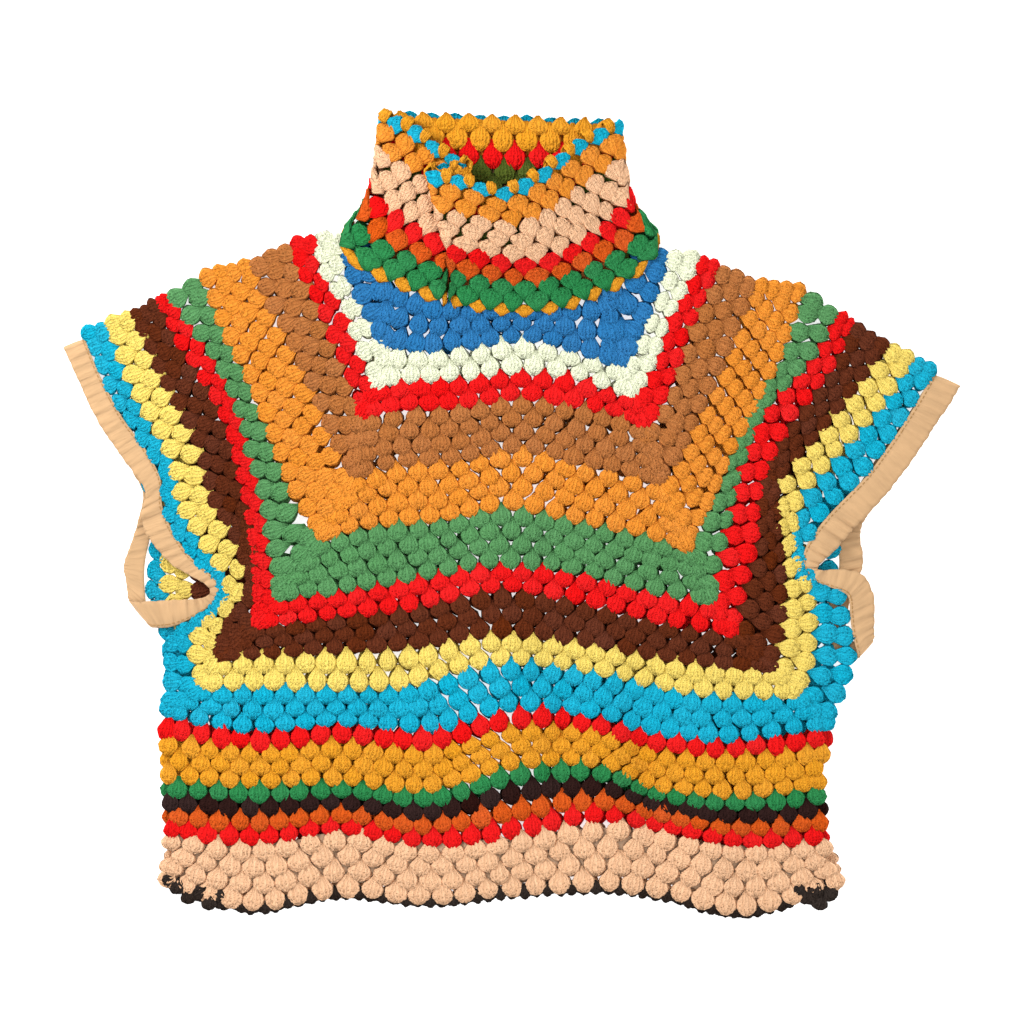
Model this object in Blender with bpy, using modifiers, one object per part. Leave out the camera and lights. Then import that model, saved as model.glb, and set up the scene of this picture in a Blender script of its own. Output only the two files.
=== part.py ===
"""Crochet poncho laid flat: granny-square body, turned-down cowl collar, taped cuffs and hem."""

import math

import bmesh
import bpy
from mathutils import Vector

MM = 0.001

# Walls
WOOL = 3.0           # thickness of the crochet
TAPE = 2.2           # cuff tape, folded double over the edge
FACING = 1.2         # single twill tape inside the hem
SEAM = 0.3           # between pieces that are sewn to each other
LAYER = 3.6          # from the middle of one crochet layer to the middle of the next
COLLAR_STEP = 4.0    # from the collar's stand to its turn-down

# Whole garment, in millimetres from the middle of its outline
NECK_LEFT = (-131, 241)
NECK_RIGHT = (113, 232)
PUFF = 4.5           # how far the front stands clear of the back over the body
HEM_LIFT = 4.4       # room for the tape between the layers at the hem
HEM_TOP = -287       # upper edge of the tape inside the hem
EDGING_DROP = 3.0    # how far the dark last round shows below the scallops' roots

# Collar
COLLAR_LIFT = 11.0   # how far the rim's front stands above its base
PLEAT_RADIUS = 3.9   # bend of the rim's pleat
PLEAT_LENGTH = 27.0  # overlap of the pleat at the rim
PLEAT_APEX = 206     # height on the collar where the pleat runs out
PLEAT_SHUT = 0.42    # share of its length over which the pleat closes from its apex
PLEAT_RIM = 304

# Front shoulder folds and neckline, from the left cuff to the right one
LEFT_SHOULDER = [
    (-385, 157),
    (-342, 175),
    (-310, 191),
    (-280, 210),
    (-235, 220),
    (-198, 240),
    (-175, 246),
    NECK_LEFT,
]
RIGHT_SHOULDER = [
    NECK_RIGHT,
    (166, 229),
    (186, 216),
    (219, 203),
    (262, 199),
    (307, 163),
    (338, 148),
    (380, 125),
]
FRONT_NECKLINE = [NECK_LEFT, (-114, 212), (-78, 191), (-2, 185), (70, 188), (98, 207), NECK_RIGHT]
BACK_NECKLINE = [NECK_LEFT, (-114, 221), (-78, 206), (-2, 202), (70, 204), (98, 214), NECK_RIGHT]

# Sections across the front, from the cuff tops to the hem
#   left_x  left_y  right_x  right_y
FRONT_SECTIONS = [
    (-385, 157, 380, 125),
    (-379, 142, 372, 112),
    (-371, 122, 362, 94),
    (-361, 103, 353, 80),
    (-351, 84, 344, 66),
    (-328, 54, 320, 32),
    (-314, 27, 300, 12),
    (-316, 5, 283, -5),
    (-305, -19, 270, -22),
    (-291, -41, 260, -38),
    (-276, -54, 261, -53),
    (-262, -65, 270, -65),
    (-259, -76, 290, -71),
    (-271, -87, 304, -77),
    (-290, -99, 303, -92),
    (-307, -107, 306, -115),
    (-310, -122, 309, -133),
    (-311, -150, 303, -154),
    (-314, -185, 288, -181),
    (-312, -216, 280, -212),
    (-308, -240, 277, -240),
    (-306, -264, 277, -264),
    (-307, -287, 279, -287),
    (-309, -309, 283, -309),
    (-311, -326, 288, -326),
    (-312, -336, 291, -336),
]

# Sections across the back
#   left_x  left_y  right_x  right_y
BACK_SECTIONS = [
    (-385, 157, 380, 125),
    (-379, 142, 371, 110),
    (-368, 114, 355, 85),
    (-358, 92, 342, 67),
    (-342, 70, 328, 48),
    (-318, 20, 300, 5),
    (-324, -20, 292, -28),
    (-330, -50, 295, -52),
    (-330, -78, 285, -78),
    (-320, -104, 280, -100),
    (-313, -120, 281, -122),
    (-311, -140, 292, -138),
    (-311, -157, 301, -157),
    (-314, -185, 288, -185),
    (-312, -216, 280, -212),
    (-307, -250, 277, -250),
    (-307, -287, 279, -287),
    (-309, -309, 283, -309),
    (-311, -326, 288, -326),
    (-312, -336, 291, -336),
]

HEM_LINE = [
    (-312, -336),
    (-285, -350),
    (-249, -354),
    (-205, -351),
    (-165, -343),
    (-95, -348),
    (-45, -352),
    (-10, -348),
    (52, -338),
    (114, -336),
    (146, -346),
    (187, -357),
    (238, -359),
    (269, -355),
    (291, -336),
]

# Soft folds of the front: each a ridge, or a trough where its height is negative
#   from_x  from_y  to_x  to_y  height  width
FOLDS = [
    (-8, 90, -10, -350, 8.0, 28),
    (-62, -150, -64, -350, -5.0, 20),
    (38, -80, 34, -320, -6.0, 19),
    (78, -60, 92, -350, 5.0, 22),
    (122, -110, 136, -350, -7.0, 19),
    (166, -90, 180, -350, 9.0, 28),
    (-140, 120, -140, -60, 3.5, 18),
    (-160, -100, -190, -350, 4.0, 34),
    (-105, -120, -112, -330, -3.0, 20),
    (150, 150, 130, -20, 4.0, 24),
    (60, 130, 72, -40, 3.5, 20),
    (-300, 120, -262, 0, 5.0, 24),
    (-240, 160, -232, -60, -3.0, 20),
    (300, 100, 238, 0, 5.0, 24),
    (230, -30, 236, -280, 4.0, 28),
    (-250, -110, -262, -320, 3.0, 26),
]

# Cuff tapes: the sewn edge, the free edge and the layer each stretch lies in
#   sewn_x  sewn_y  free_x  free_y  layer
LEFT_CUFF = [
    (-385, 157, -405, 150, "fold"),
    (-379, 142, -398, 133, "front"),
    (-371, 122, -389, 114, "front"),
    (-361, 103, -380, 94, "front"),
    (-351, 84, -370, 74, "front"),
    (-328, 54, -347, 42, "front"),
    (-314, 27, -327, 16, "front"),
    (-316, 5, -336, -4, "front"),
    (-305, -19, -328, -25, "front"),
    (-291, -41, -308, -49, "front"),
    (-276, -54, -288, -60, "front"),
    (-262, -65, -270, -69, "front"),
    (-260, -76, -270, -76, "front"),
    (-271, -87, -275, -79, "front"),
    (-290, -99, -292, -81, "front"),
    (-307, -107, -310, -81, "front"),
    (-326, -107, -346, -84, "fold"),
    (-330, -78, -347, -64, "back"),
    (-331, -50, -351, -50, "back"),
    (-324, -20, -341, -26, "back"),
    (-318, 20, -330, 15, "back"),
    (-342, 70, -359, 63, "back"),
    (-358, 92, -376, 85, "back"),
    (-368, 114, -386, 107, "back"),
    (-379, 142, -397, 134, "back"),
]

RIGHT_CUFF = [
    (380, 125, 405, 115, "fold"),
    (372, 112, 398, 101, "front"),
    (362, 94, 386, 84, "front"),
    (353, 80, 375, 67, "front"),
    (344, 66, 364, 50, "front"),
    (320, 32, 338, 15, "front"),
    (300, 12, 320, -4, "front"),
    (283, -5, 305, -19, "front"),
    (270, -22, 292, -36, "front"),
    (260, -38, 278, -47, "front"),
    (261, -53, 272, -53, "front"),
    (270, -65, 276, -56, "front"),
    (290, -71, 290, -52, "front"),
    (304, -77, 319, -56, "front"),
    (303, -92, 327, -80, "front"),
    (306, -115, 326, -106, "front"),
    (313, -136, 326, -120, "fold"),
    (292, -138, 305, -120, "back"),
    (281, -122, 300, -110, "back"),
    (280, -100, 300, -96, "back"),
    (285, -78, 306, -76, "back"),
    (295, -52, 318, -46, "back"),
    (292, -28, 312, -24, "back"),
    (300, 5, 316, -10, "back"),
    (328, 48, 345, 32, "back"),
    (342, 67, 359, 53, "back"),
    (355, 85, 374, 74, "back"),
    (371, 110, 393, 99, "back"),
]

# Collar outline: the rim and the free edge by their places across the front and the back
RIM_LEFT = [(-112, 356), (-101, 351), (-83, 346), (-65, 333), (-52, 322), (-40, 315)]
RIM_RIGHT = [(-72, 304), (-47, 299), (-11, 288), (16, 299), (43, 318), (70, 337), (96, 349)]
RIM_BACK = [(96, 350), (0, 354), (-112, 357)]
FREE_FRONT = [
    (-161, 249),
    (-152, 219),
    (-120, 205),
    (-74, 186),
    (-30, 177),
    (0, 173),
    (45, 176),
    (97, 197),
    (128, 217),
    (136, 235),
]
FREE_BACK = [(135, 238), (126, 214), (96, 200), (0, 190), (-74, 196), (-140, 214), (-161, 249)]


def clamp(value, low=0.0, high=1.0):
    return max(low, min(high, value))


def ease(value):
    value = clamp(value)
    return value * value * (3 - 2 * value)


def along(points, x):
    """Height of a line of points at x, for points in order of x."""
    ordered = sorted(points)
    if x <= ordered[0][0]:
        return ordered[0][1]
    for (x0, y0), (x1, y1) in zip(ordered, ordered[1:]):
        if x <= x1:
            return y0 + (y1 - y0) * (x - x0) / (x1 - x0)
    return ordered[-1][1]


def spline(points, share):
    """Point at a share of the way along a smooth curve through the points."""
    spans = len(points) - 1
    place = clamp(share) * spans
    i = min(int(place), spans - 1)
    t = place - i
    p = [points[max(0, min(spans, i + k))] for k in (-1, 0, 1, 2)]
    out = []
    for a, b, c, d in zip(*p):
        out.append(
            b + 0.5 * t * (c - a + t * (2 * a - 5 * b + 4 * c - d + t * (3 * (b - c) + d - a)))
        )
    return tuple(out)


def under_collar(x, y):
    """1 where the turned-down back of the collar lies under the body, 0 clear of it."""
    across = ease((x + 218) / 32) * ease((198 - x) / 32)
    return across * ease((y - 108) / 42)


def back_height(x, y):
    return WOOL / 2 + LAYER * under_collar(x, y)


def shoulder_line(x):
    return along(LEFT_SHOULDER + RIGHT_SHOULDER, x)


def fold_height(x, y):
    total = 0.0
    for x0, y0, x1, y1, height, width in FOLDS:
        length = math.hypot(x1 - x0, y1 - y0)
        ux, uy = (x1 - x0) / length, (y1 - y0) / length
        run = ((x - x0) * ux + (y - y0) * uy) / length
        off = (x - x0) * uy - (y - y0) * ux
        total += height * math.exp(-((off / width) ** 2)) * ease(run / 0.3) * ease((1.25 - run) / 0.3)
    return total


def front_height(x, y):
    """Middle of the front's wall above the surface that the garment rests on."""
    inside = ease((shoulder_line(x) - y) / 60)
    body = ease((-60 - y) / 40)
    sides = ease((x + 312) / 60) * ease((308 - x) / 60)
    inside *= 1 - body * (1 - sides)
    swell = PUFF + fold_height(x, y)
    swell = 0.5 * (swell + math.sqrt(swell * swell + 4.0))
    hem = HEM_LIFT * ease((HEM_TOP + 42 - y) / 40)
    lift = max(inside * swell, 0.0)
    return back_height(x, y) + LAYER + lift + hem * (1 - 0.6 * clamp(lift / 9))


def add_object(name, bm, collection, color, roughness):
    mesh = bpy.data.meshes.new(name)
    bmesh.ops.recalc_face_normals(bm, faces=bm.faces)
    bm.to_mesh(mesh)
    bm.free()
    obj = bpy.data.objects.new(name, mesh)
    collection.objects.link(obj)
    material = bpy.data.materials.new(name)
    material.use_nodes = True
    shader = material.node_tree.nodes["Principled BSDF"]
    shader.inputs["Base Color"].default_value = (*color, 1)
    shader.inputs["Roughness"].default_value = roughness
    shader.inputs["Metallic"].default_value = 0.0
    mesh.materials.append(material)
    mesh.shade_smooth()
    return obj


def thicken(obj, thickness):
    """Turns an open surface into a wall, half to each side."""
    wall = obj.modifiers.new("Wall", "SOLIDIFY")
    wall.thickness = thickness * MM
    wall.offset = 0
    wall.use_even_offset = False
    bpy.context.view_layer.objects.active = obj
    obj.select_set(True)
    bpy.ops.object.modifier_apply(modifier=wall.name)
    obj.select_set(False)


def grid(columns, rows, place):
    """Grid of quads whose points are put where place(share across, share down) says."""
    bm = bmesh.new()
    bmesh.ops.create_grid(bm, x_segments=columns, y_segments=rows, size=0.5)
    for vert in bm.verts:
        vert.co = Vector(place(vert.co.x + 0.5, 0.5 - vert.co.y)) * MM
    return bm


def panel(name, collection, color, neckline, sections, height, shoulder_cuts, neck_cuts):
    """Front or back of the body: a patch between its shoulders, sides and hem, made into a wall.

    Gives the points and normals of the wall's middle, by column and row, for what lies on it.
    """
    top = [(LEFT_SHOULDER, shoulder_cuts), (neckline, neck_cuts), (RIGHT_SHOULDER, shoulder_cuts)]
    top_points = [
        (line, k / cuts) for line, cuts in top for k in range(cuts)
    ] + [(RIGHT_SHOULDER, 1.0)]
    top_points = [spline(line, share) for line, share in top_points]
    columns = len(top_points) - 1
    rows = len(sections) - 1
    x_left, x_right = top_points[0][0], top_points[-1][0]
    y_top = (sections[0][1] + sections[0][3]) / 2
    y_low = (sections[-1][1] + sections[-1][3]) / 2
    corners = [sections[0][:2], sections[0][2:], sections[-1][:2], sections[-1][2:]]

    def place(across, down):
        top_x, top_y = top_points[round(across * columns)]
        u = (top_x - x_left) / (x_right - x_left)
        row = sections[round(down * rows)]
        v = (y_top - (row[1] + row[3]) / 2) / (y_top - y_low)
        hem_x = HEM_LINE[0][0] + u * (HEM_LINE[-1][0] - HEM_LINE[0][0])
        low = (hem_x, along(HEM_LINE, hem_x))
        point = []
        for axis, top_value in enumerate((top_x, top_y)):
            c = [corner[axis] for corner in corners]
            bulge_top = top_value - ((1 - u) * c[0] + u * c[1])
            bulge_low = low[axis] - ((1 - u) * c[2] + u * c[3])
            sides = (1 - u) * row[axis] + u * row[axis + 2]
            point.append(sides + bulge_top * (1 - v) ** 2.2 + bulge_low * v**3)
        return (*point, height(*point))

    bm = grid(columns, rows, place)
    bmesh.ops.recalc_face_normals(bm, faces=bm.faces)
    bm.normal_update()
    points = {}
    bm.verts.ensure_lookup_table()
    for k, vert in enumerate(bm.verts):
        row, column = divmod(k, columns + 1)
        upward = vert.normal if vert.normal.z > 0 else -vert.normal
        points[column, rows - row] = (vert.co / MM, upward.copy())
    obj = add_object(name, bm, collection, color, 0.9)
    thicken(obj, WOOL)
    return points


def fold_stations(sewn, free, z0, z1, outward):
    """Three steps of a tape that rolls over from one layer to the other."""
    out = []
    for turn in (30, 90, 150):
        angle = math.radians(turn)
        facing = 1 if z0[0] > z1[0] else -1
        normal = Vector((0, 0, math.cos(angle) * facing)) + outward * math.sin(angle)
        ends = []
        for point, start, end in ((sewn, z0[0], z1[0]), (free, z0[1], z1[1])):
            spot = point + outward * abs(start - end) / 2 * (math.sin(angle) - 1)
            spot.z = (start + end) / 2 + (start - end) / 2 * math.cos(angle)
            ends.append(spot)
        out.append((ends[0], ends[1], normal))
    return out


def band(name, collection, color, table, thickness, hand, heights):
    """Closed ring of tape through the table's stations; a fold rolls it over to the other layer."""
    rings = []
    count = len(table)
    for k, (sewn_x, sewn_y, free_x, free_y, layer) in enumerate(table):
        sewn, free = Vector((sewn_x, sewn_y, 0)), Vector((free_x, free_y, 0))
        if layer == "fold":
            before, after = heights[table[k - 1][4]], heights[table[(k + 1) % count][4]]
            z0 = [before(point.x, point.y) for point in (sewn, free)]
            z1 = [after(point.x, point.y) for point in (sewn, free)]
            outward = (free - sewn).normalized().cross(Vector((0, 0, -1))) * hand
            if table[k - 1][4] == "back":
                outward = -outward
            rings += fold_stations(sewn, free, z0, z1, outward)
            continue
        sewn.z = heights[layer](sewn.x, sewn.y)
        free.z = heights[layer](free.x, free.y)
        rings.append((sewn, free, Vector((0, 0, 1 if layer == "front" else -1))))
    bm = bmesh.new()
    loops = []
    for sewn, free, normal in rings:
        half = normal * thickness / 2
        inset = (free - sewn).normalized() * SEAM * 2
        corners = (sewn + inset + half, free + half, free - half, sewn + inset - half)
        loops.append([bm.verts.new(corner * MM) for corner in corners])
    for one, two in zip(loops, loops[1:] + loops[:1]):
        for i in range(4):
            j = (i + 1) % 4
            bm.faces.new((one[i], one[j], two[j], two[i]))
    return add_object(name, bm, collection, color, 0.8)


def hem_tape(name, collection, color, front, back, rows, thickness, drop):
    """Closed ring inside the hem, made from the points of the front and the back, moved inwards."""
    depth = WOOL / 2 + SEAM + thickness / 2
    front_last = max(column for column, row in front)
    back_last = max(column for column, row in back)
    front_rows = max(row for column, row in front)
    back_rows = max(row for column, row in back)

    def inner(points, last, lowest, column, k, side):
        row = lowest - rows[k]
        point, normal = points[column, row]
        if column in (0, last):
            near, near_normal = points[abs(column - 1), row]
            point = point.lerp(near, 0.22)
            normal = normal.lerp(near_normal, 0.22)
        shift = Vector((0, -drop[k], 0))
        return point + normal * depth * side + shift

    def section(column, k):
        if column <= front_last:
            return inner(front, front_last, front_rows, column, k, -1)
        column -= front_last + 1
        if column < len(TURNS):
            return turned(section(front_last, k), inner(back, back_last, back_rows, back_last, k, 1), 1, column)
        column -= len(TURNS)
        if column <= back_last:
            return inner(back, back_last, back_rows, back_last - column, k, 1)
        column -= back_last + 1
        return turned(inner(back, back_last, back_rows, 0, k, 1), section(0, k), -1, column)

    def turned(start, end, side, step):
        angle = math.radians(TURNS[step])
        middle = (start + end) / 2
        out = middle + (start - middle) * math.cos(angle)
        out.x += side * min(abs(start.z - end.z) / 2, 3.0) * math.sin(angle)
        return out

    columns = front_last + back_last + 2 + 2 * len(TURNS)
    spans = len(rows) - 1

    def place(across, down):
        return section(round(across * columns) % columns, round(down * spans))

    bm = grid(columns, spans, place)
    bmesh.ops.remove_doubles(bm, verts=bm.verts, dist=0.00001)
    obj = add_object(name, bm, collection, color, 0.85)
    thicken(obj, thickness)
    return obj


def pleat_curve(y):
    """Middle of the collar's front at height y: places (x, z) and directions across it."""
    open_share = clamp((y - PLEAT_APEX) / (PLEAT_RIM - PLEAT_APEX))
    angle = math.pi * clamp(open_share / PLEAT_SHUT) ** 1.2
    overlap = 2.5 + (PLEAT_LENGTH - 2.5) * clamp((open_share - PLEAT_SHUT) / (1 - PLEAT_SHUT))
    bend = max(PLEAT_RADIUS * angle, 5.0)
    turns = [(angle * k / 5, bend / 5) for k in (0.5, 1.5, 2.5, 3.5, 4.5)]
    turns += [(angle, overlap / 2)] * 2
    turns += [(angle * k / 5, bend / 5) for k in (4.5, 3.5, 2.5, 1.5, 0.5)]
    x, z = 0.0, 0.0
    path = [(x, z, 0.0)]
    for k, (direction, length) in enumerate(turns):
        x += length * math.cos(direction)
        z += length * math.sin(direction)
        heading = direction if k + 1 == len(turns) else (direction + turns[k + 1][0]) / 2
        path.append((x, z, 0.0 if k + 1 == len(turns) else heading))
    return -64 + 21 * open_share, path


PLEAT_POINTS = 13
LEFT_PART = 5
RIGHT_PART = 9
BACK_PART = 9
TURNS = (45, 90, 135)


def collar_sides(layer, y):
    """Left and right sides of the stand or the turn-down at height y."""
    if layer == "stand":
        close = 1 - clamp((y - 236) / 120)
        return -110 - 21 * close**2.2, 88 + 25 * close**1.8
    drop = clamp((358 - y) / 110)
    return -114 - 12 * drop - 30 * drop**5, 92 + 14 * drop + 25 * drop**6


def collar_front(layer, y_rim, y):
    """Points (x, z) across the front of the stand or the turn-down at height y."""
    side = 1 if layer == "turned" else -1
    left, right = collar_sides(layer, y)
    rise = ease((y - 190) / 120)

    def base(x):
        return front_height(x, min(y, shoulder_line(x) - 2)) + COLLAR_STEP / 2

    start, path = pleat_curve(y)
    out = []
    lift = COLLAR_LIFT * rise
    for k in range(LEFT_PART):
        share = k / LEFT_PART
        x = left + (start - left) * share
        out.append((x, base(x) + lift * 0.8 * math.sin(share * math.pi / 2) + side * COLLAR_STEP / 2))
    z0 = base(start) + lift * 0.8
    for x, z, heading in path:
        off = side * COLLAR_STEP / 2
        out.append((start + x - off * math.sin(heading), z0 + z + off * math.cos(heading)))
    x0, z1 = start + path[-1][0], z0 + path[-1][1]
    for k in range(1, RIGHT_PART + 1):
        share = k / RIGHT_PART
        x = x0 + (right - x0) * share
        fall = (z1 - base(x)) * (1 - ease(share)) + lift * 0.9 * math.sin(math.pi * share) * (1 - share)
        out.append((x, base(x) + fall + side * COLLAR_STEP / 2))
    return out


def collar_place(layer, column, y_rim, y):
    """Point of a collar layer at one column and height."""
    front = collar_front(layer, y_rim, y)
    left, right = collar_sides(layer, y)
    z_back = WOOL / 2 if layer == "turned" else WOOL / 2 + LAYER
    if column < len(front):
        return front[column][0], y, front[column][1]
    column -= len(front)
    if column < len(TURNS):
        x, z_front = front[-1]
        radius = (z_front - z_back) / 2
        angle = math.radians(TURNS[column])
        return x + min(radius, 4.0) * math.sin(angle), y, z_back + radius * (1 + math.cos(angle))
    column -= len(TURNS)
    if column < BACK_PART:
        share = column / (BACK_PART - 1)
        return right + (left - right) * share, y, z_back
    column -= BACK_PART
    x, z_front = front[0]
    radius = (z_front - z_back) / 2
    angle = math.radians(180 - TURNS[column])
    return x - min(radius, 4.0) * math.sin(angle), y, z_back + radius * (1 + math.cos(angle))


def collar_heights(column):
    """Rim, neckline and free edge at one column of the collar."""
    left_count = LEFT_PART + PLEAT_POINTS + RIGHT_PART
    if column < LEFT_PART:
        share = column / LEFT_PART
        rim = spline(RIM_LEFT, share)[1]
    elif column < LEFT_PART + PLEAT_POINTS:
        share = (column - LEFT_PART) / (PLEAT_POINTS - 1)
        rim = RIM_LEFT[-1][1] + (RIM_RIGHT[0][1] - RIM_LEFT[-1][1]) * share
    elif column < left_count:
        share = (column - LEFT_PART - PLEAT_POINTS + 1) / RIGHT_PART
        rim = spline(RIM_RIGHT, share)[1]
    elif column < left_count + len(TURNS):
        return 349.5, NECK_RIGHT[1] + 2.0, 240.0
    elif column < left_count + len(TURNS) + BACK_PART:
        share = (column - left_count - len(TURNS)) / (BACK_PART - 1)
        x = NECK_RIGHT[0] + (NECK_LEFT[0] - NECK_RIGHT[0]) * share
        x_free = 134 - 294 * share
        free = along(FREE_BACK, x_free)
        if share in (0, 1):
            return spline(RIM_BACK, share)[1], along(BACK_NECKLINE, x) + 2.0, free + 1.0
        return spline(RIM_BACK, share)[1], along(BACK_NECKLINE, x) + SEAM + 0.3, free
    else:
        return 356.5, NECK_LEFT[1] + 2.0, 251.0
    stand_x = collar_front("stand", rim, 215)[column][0]
    turned_x = collar_front("turned", rim, 200)[column][0]
    neck = along(FRONT_NECKLINE, stand_x) + SEAM + 0.3
    free = along(FREE_FRONT, turned_x)
    if column in (0, left_count - 1):
        neck += 1.5
    return rim, neck, free


def collar(collection):
    """Stand, rim and turn-down in one: a tube that goes up, over and down outside itself."""
    columns = LEFT_PART + PLEAT_POINTS + RIGHT_PART + BACK_PART + 2 * len(TURNS)
    stand_rows, rim_rows, turned_rows = 6, 2, 10
    rows = stand_rows + rim_rows + turned_rows

    def place(across, down):
        column = round(across * columns) % columns
        row = round(down * rows)
        rim, neck, free = collar_heights(column)
        if row <= stand_rows:
            share = row / stand_rows
            return collar_place("stand", column, rim, neck + (rim - neck) * share)
        if row >= stand_rows + rim_rows:
            share = (row - stand_rows - rim_rows) / turned_rows
            return collar_place("turned", column, rim, rim + (free - rim) * share)
        inner = Vector(collar_place("stand", column, rim, rim))
        outer = Vector(collar_place("turned", column, rim, rim))
        middle = (inner + outer) / 2
        middle.y = rim + (outer - inner).length / 2
        return middle

    bm = grid(columns, rows, place)
    bmesh.ops.remove_doubles(bm, verts=bm.verts, dist=0.00001)
    obj = add_object("collar", bm, collection, (0.80, 0.32, 0.06), 0.9)
    thicken(obj, WOOL)
    return obj


def clear_scene():
    for obj in list(bpy.data.objects):
        bpy.data.objects.remove(obj, do_unlink=True)


def build():
    clear_scene()
    poncho = bpy.data.collections.new("crochet_poncho")
    bpy.context.scene.collection.children.link(poncho)
    wool_brown = (0.36, 0.14, 0.045)
    twill_tan = (0.72, 0.46, 0.22)
    front = panel("body_front", poncho, wool_brown, FRONT_NECKLINE, FRONT_SECTIONS, front_height, 13, 12)
    back = panel("body_back", poncho, wool_brown, BACK_NECKLINE, BACK_SECTIONS, back_height, 9, 10)
    collar(poncho)

    def tape_back(x, y):
        return TAPE / 2

    cuff_heights = {"front": front_height, "back": tape_back}
    band("armhole_binding_left", poncho, twill_tan, LEFT_CUFF, TAPE, 1, cuff_heights)
    band("armhole_binding_right", poncho, twill_tan, RIGHT_CUFF, TAPE, -1, cuff_heights)
    hem_tape("hem_facing", poncho, twill_tan, front, back, (3, 2, 1), FACING, (0, 0, 0))
    black_brown = (0.03, 0.018, 0.012)
    hem_tape("hem_edging", poncho, black_brown, front, back, (1, 0), FACING, (SEAM, EDGING_DROP))


build()
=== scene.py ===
"""Looks of the crochet poncho: granny clusters in striped wool, cowl collar, taped cuffs and hem."""

import math

import bpy
import numpy as np
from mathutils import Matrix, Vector
from mathutils.bvhtree import BVHTree


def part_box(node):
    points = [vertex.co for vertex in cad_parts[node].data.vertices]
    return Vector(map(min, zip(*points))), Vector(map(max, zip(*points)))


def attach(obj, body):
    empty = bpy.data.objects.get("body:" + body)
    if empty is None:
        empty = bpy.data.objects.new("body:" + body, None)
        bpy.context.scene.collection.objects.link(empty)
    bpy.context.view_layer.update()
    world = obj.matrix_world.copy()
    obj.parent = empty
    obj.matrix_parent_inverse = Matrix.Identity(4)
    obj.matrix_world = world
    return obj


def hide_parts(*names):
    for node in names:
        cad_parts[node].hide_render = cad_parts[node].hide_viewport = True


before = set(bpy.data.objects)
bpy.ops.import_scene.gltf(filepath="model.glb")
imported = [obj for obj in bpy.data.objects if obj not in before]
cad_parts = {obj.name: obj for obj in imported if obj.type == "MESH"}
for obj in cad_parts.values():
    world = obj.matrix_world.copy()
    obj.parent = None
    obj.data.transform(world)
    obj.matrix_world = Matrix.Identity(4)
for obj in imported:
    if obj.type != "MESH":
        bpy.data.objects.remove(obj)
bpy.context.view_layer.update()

MM = 0.001
rng = np.random.default_rng(7)

# Sizes, in millimetres
WOOL = 3.0                # wall that the crochet is worked into
LAYER = 3.6               # from one crochet layer to the next
CLUSTER_WIDE = 18.6       # one granny cluster across its three posts
PEACH_WIDE = 21.5         # the peach rounds are worked looser
YOKE_LONG = (14.0, 24.0)  # the shortest and the longest that a cluster is drawn
SKIRT_LONG = (18.5, 24.0)
CORNER_LONG = 25.0        # the longest in a mitred corner
ROUND_HIGH = 17.0         # a stretch of round about twice this high is filled with two clusters
ROUND_SHUT = 3.0          # below this height a cluster stands square to its line instead
SQUARE_LONG = 15.0        # the height that such a cluster takes at most
TIP = 3.0                 # how far a cluster's top stands past its round's line
ARM_START = 3.5           # from the shoulder's fold to the middle of an arm's first cluster
ROW_CENTRE = 0.0          # the rounds across the bottom are counted from here
ROUGH = 0.28              # how far a strand strays from the cluster's even form
UNEVEN_LIFT = 0.2         # how far a cluster stands higher or lower than the next
FLOOR_GAP = 0.15          # the lowest that a strand lies over the floor
TAPE = 2.2                # the cuff's solid, a tape folded double over the edge
GRID = 3.0                # spacing at which a panel's height is read

# The rest of how a cluster is worked, as shares of its width or its length
CLUSTER_LONG = 1.65       # its length for each unit of its round's height
CORNER = 0.70             # from a corner to the next cluster
TIGHT_CORNER = 0.55       # the same on the first band, and where an arm has fewer rounds than the bottom
END_GAP = 0.4             # from a plain end of a round to its last cluster
PAST_END = 0.32           # how far past the end of its round a cluster may stand
END_WIDE = 0.86           # how wide a cluster at the end of its round is
EASED = 4                 # how many clusters ease up to a corner
BELT = (0.35, 0.65)       # where clusters are counted off, between a round's inner and outer line
REACH = (0.5, 1.15)       # how far a cluster narrows or widens with the cloth's slope
BACK_SPREAD = 1.018       # the back's are a little wider, so gaps fall together in the middle only
UNEVEN_WIDE, UNEVEN_LONG, UNEVEN_LEAN, UNEVEN_PLACE, UNEVEN_TONE = 0.05, 0.03, 0.09, 0.03, 0.2

# One cluster from its pointed foot to its rounded top, for a half width of 1 and a length of 1
#   along  half_width  crown  under  middle, the last three in millimetres
CLUSTER_STATIONS = [
    (0.00, 0.16, 0.7, 0.5, 0.1),
    (0.12, 0.36, 1.2, 0.8, 0.1),
    (0.27, 0.63, 1.8, 1.0, 0.0),
    (0.42, 0.88, 2.2, 1.1, 0.0),
    (0.55, 1.00, 2.4, 1.2, 0.1),
    (0.68, 0.99, 2.5, 1.2, 0.2),
    (0.82, 0.84, 2.3, 1.1, 0.3),
    (0.93, 0.60, 1.8, 0.8, 0.3),
    (1.00, 0.32, 0.9, 0.4, 0.2),
]

# Outline across a cluster: three posts and the furrows between them over a flat underside
#   across  height, as shares of the half width and of the crown or the under side
CLUSTER_RING = [
    (1.00, 0.05),
    (0.74, 0.80),
    (0.38, 0.62),
    (0.00, 1.00),
    (-0.38, 0.62),
    (-0.74, 0.80),
    (-1.00, 0.05),
    (-0.82, -0.75),
    (-0.42, -1.00),
    (0.00, -1.00),
    (0.42, -1.00),
    (0.82, -0.75),
]
FURROWS = (2, 4)          # places of the furrows in CLUSTER_RING
FURROW_FLAT = (0.55, 0.45)              # how flat they are at the top, and how much deeper below it
FURROW_NOTCH = 0.10       # how far they cut into the top's edge
SIDE_LAG = 0.05           # how far the sides stay behind the middle there
# Painted shade of a cluster: darker at its foot, on its underside and in the furrows between its posts
FOOT_SHADE, UNDER_SHADE, FURROW_SHADE = 0.62, 0.6, 0.8

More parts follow.
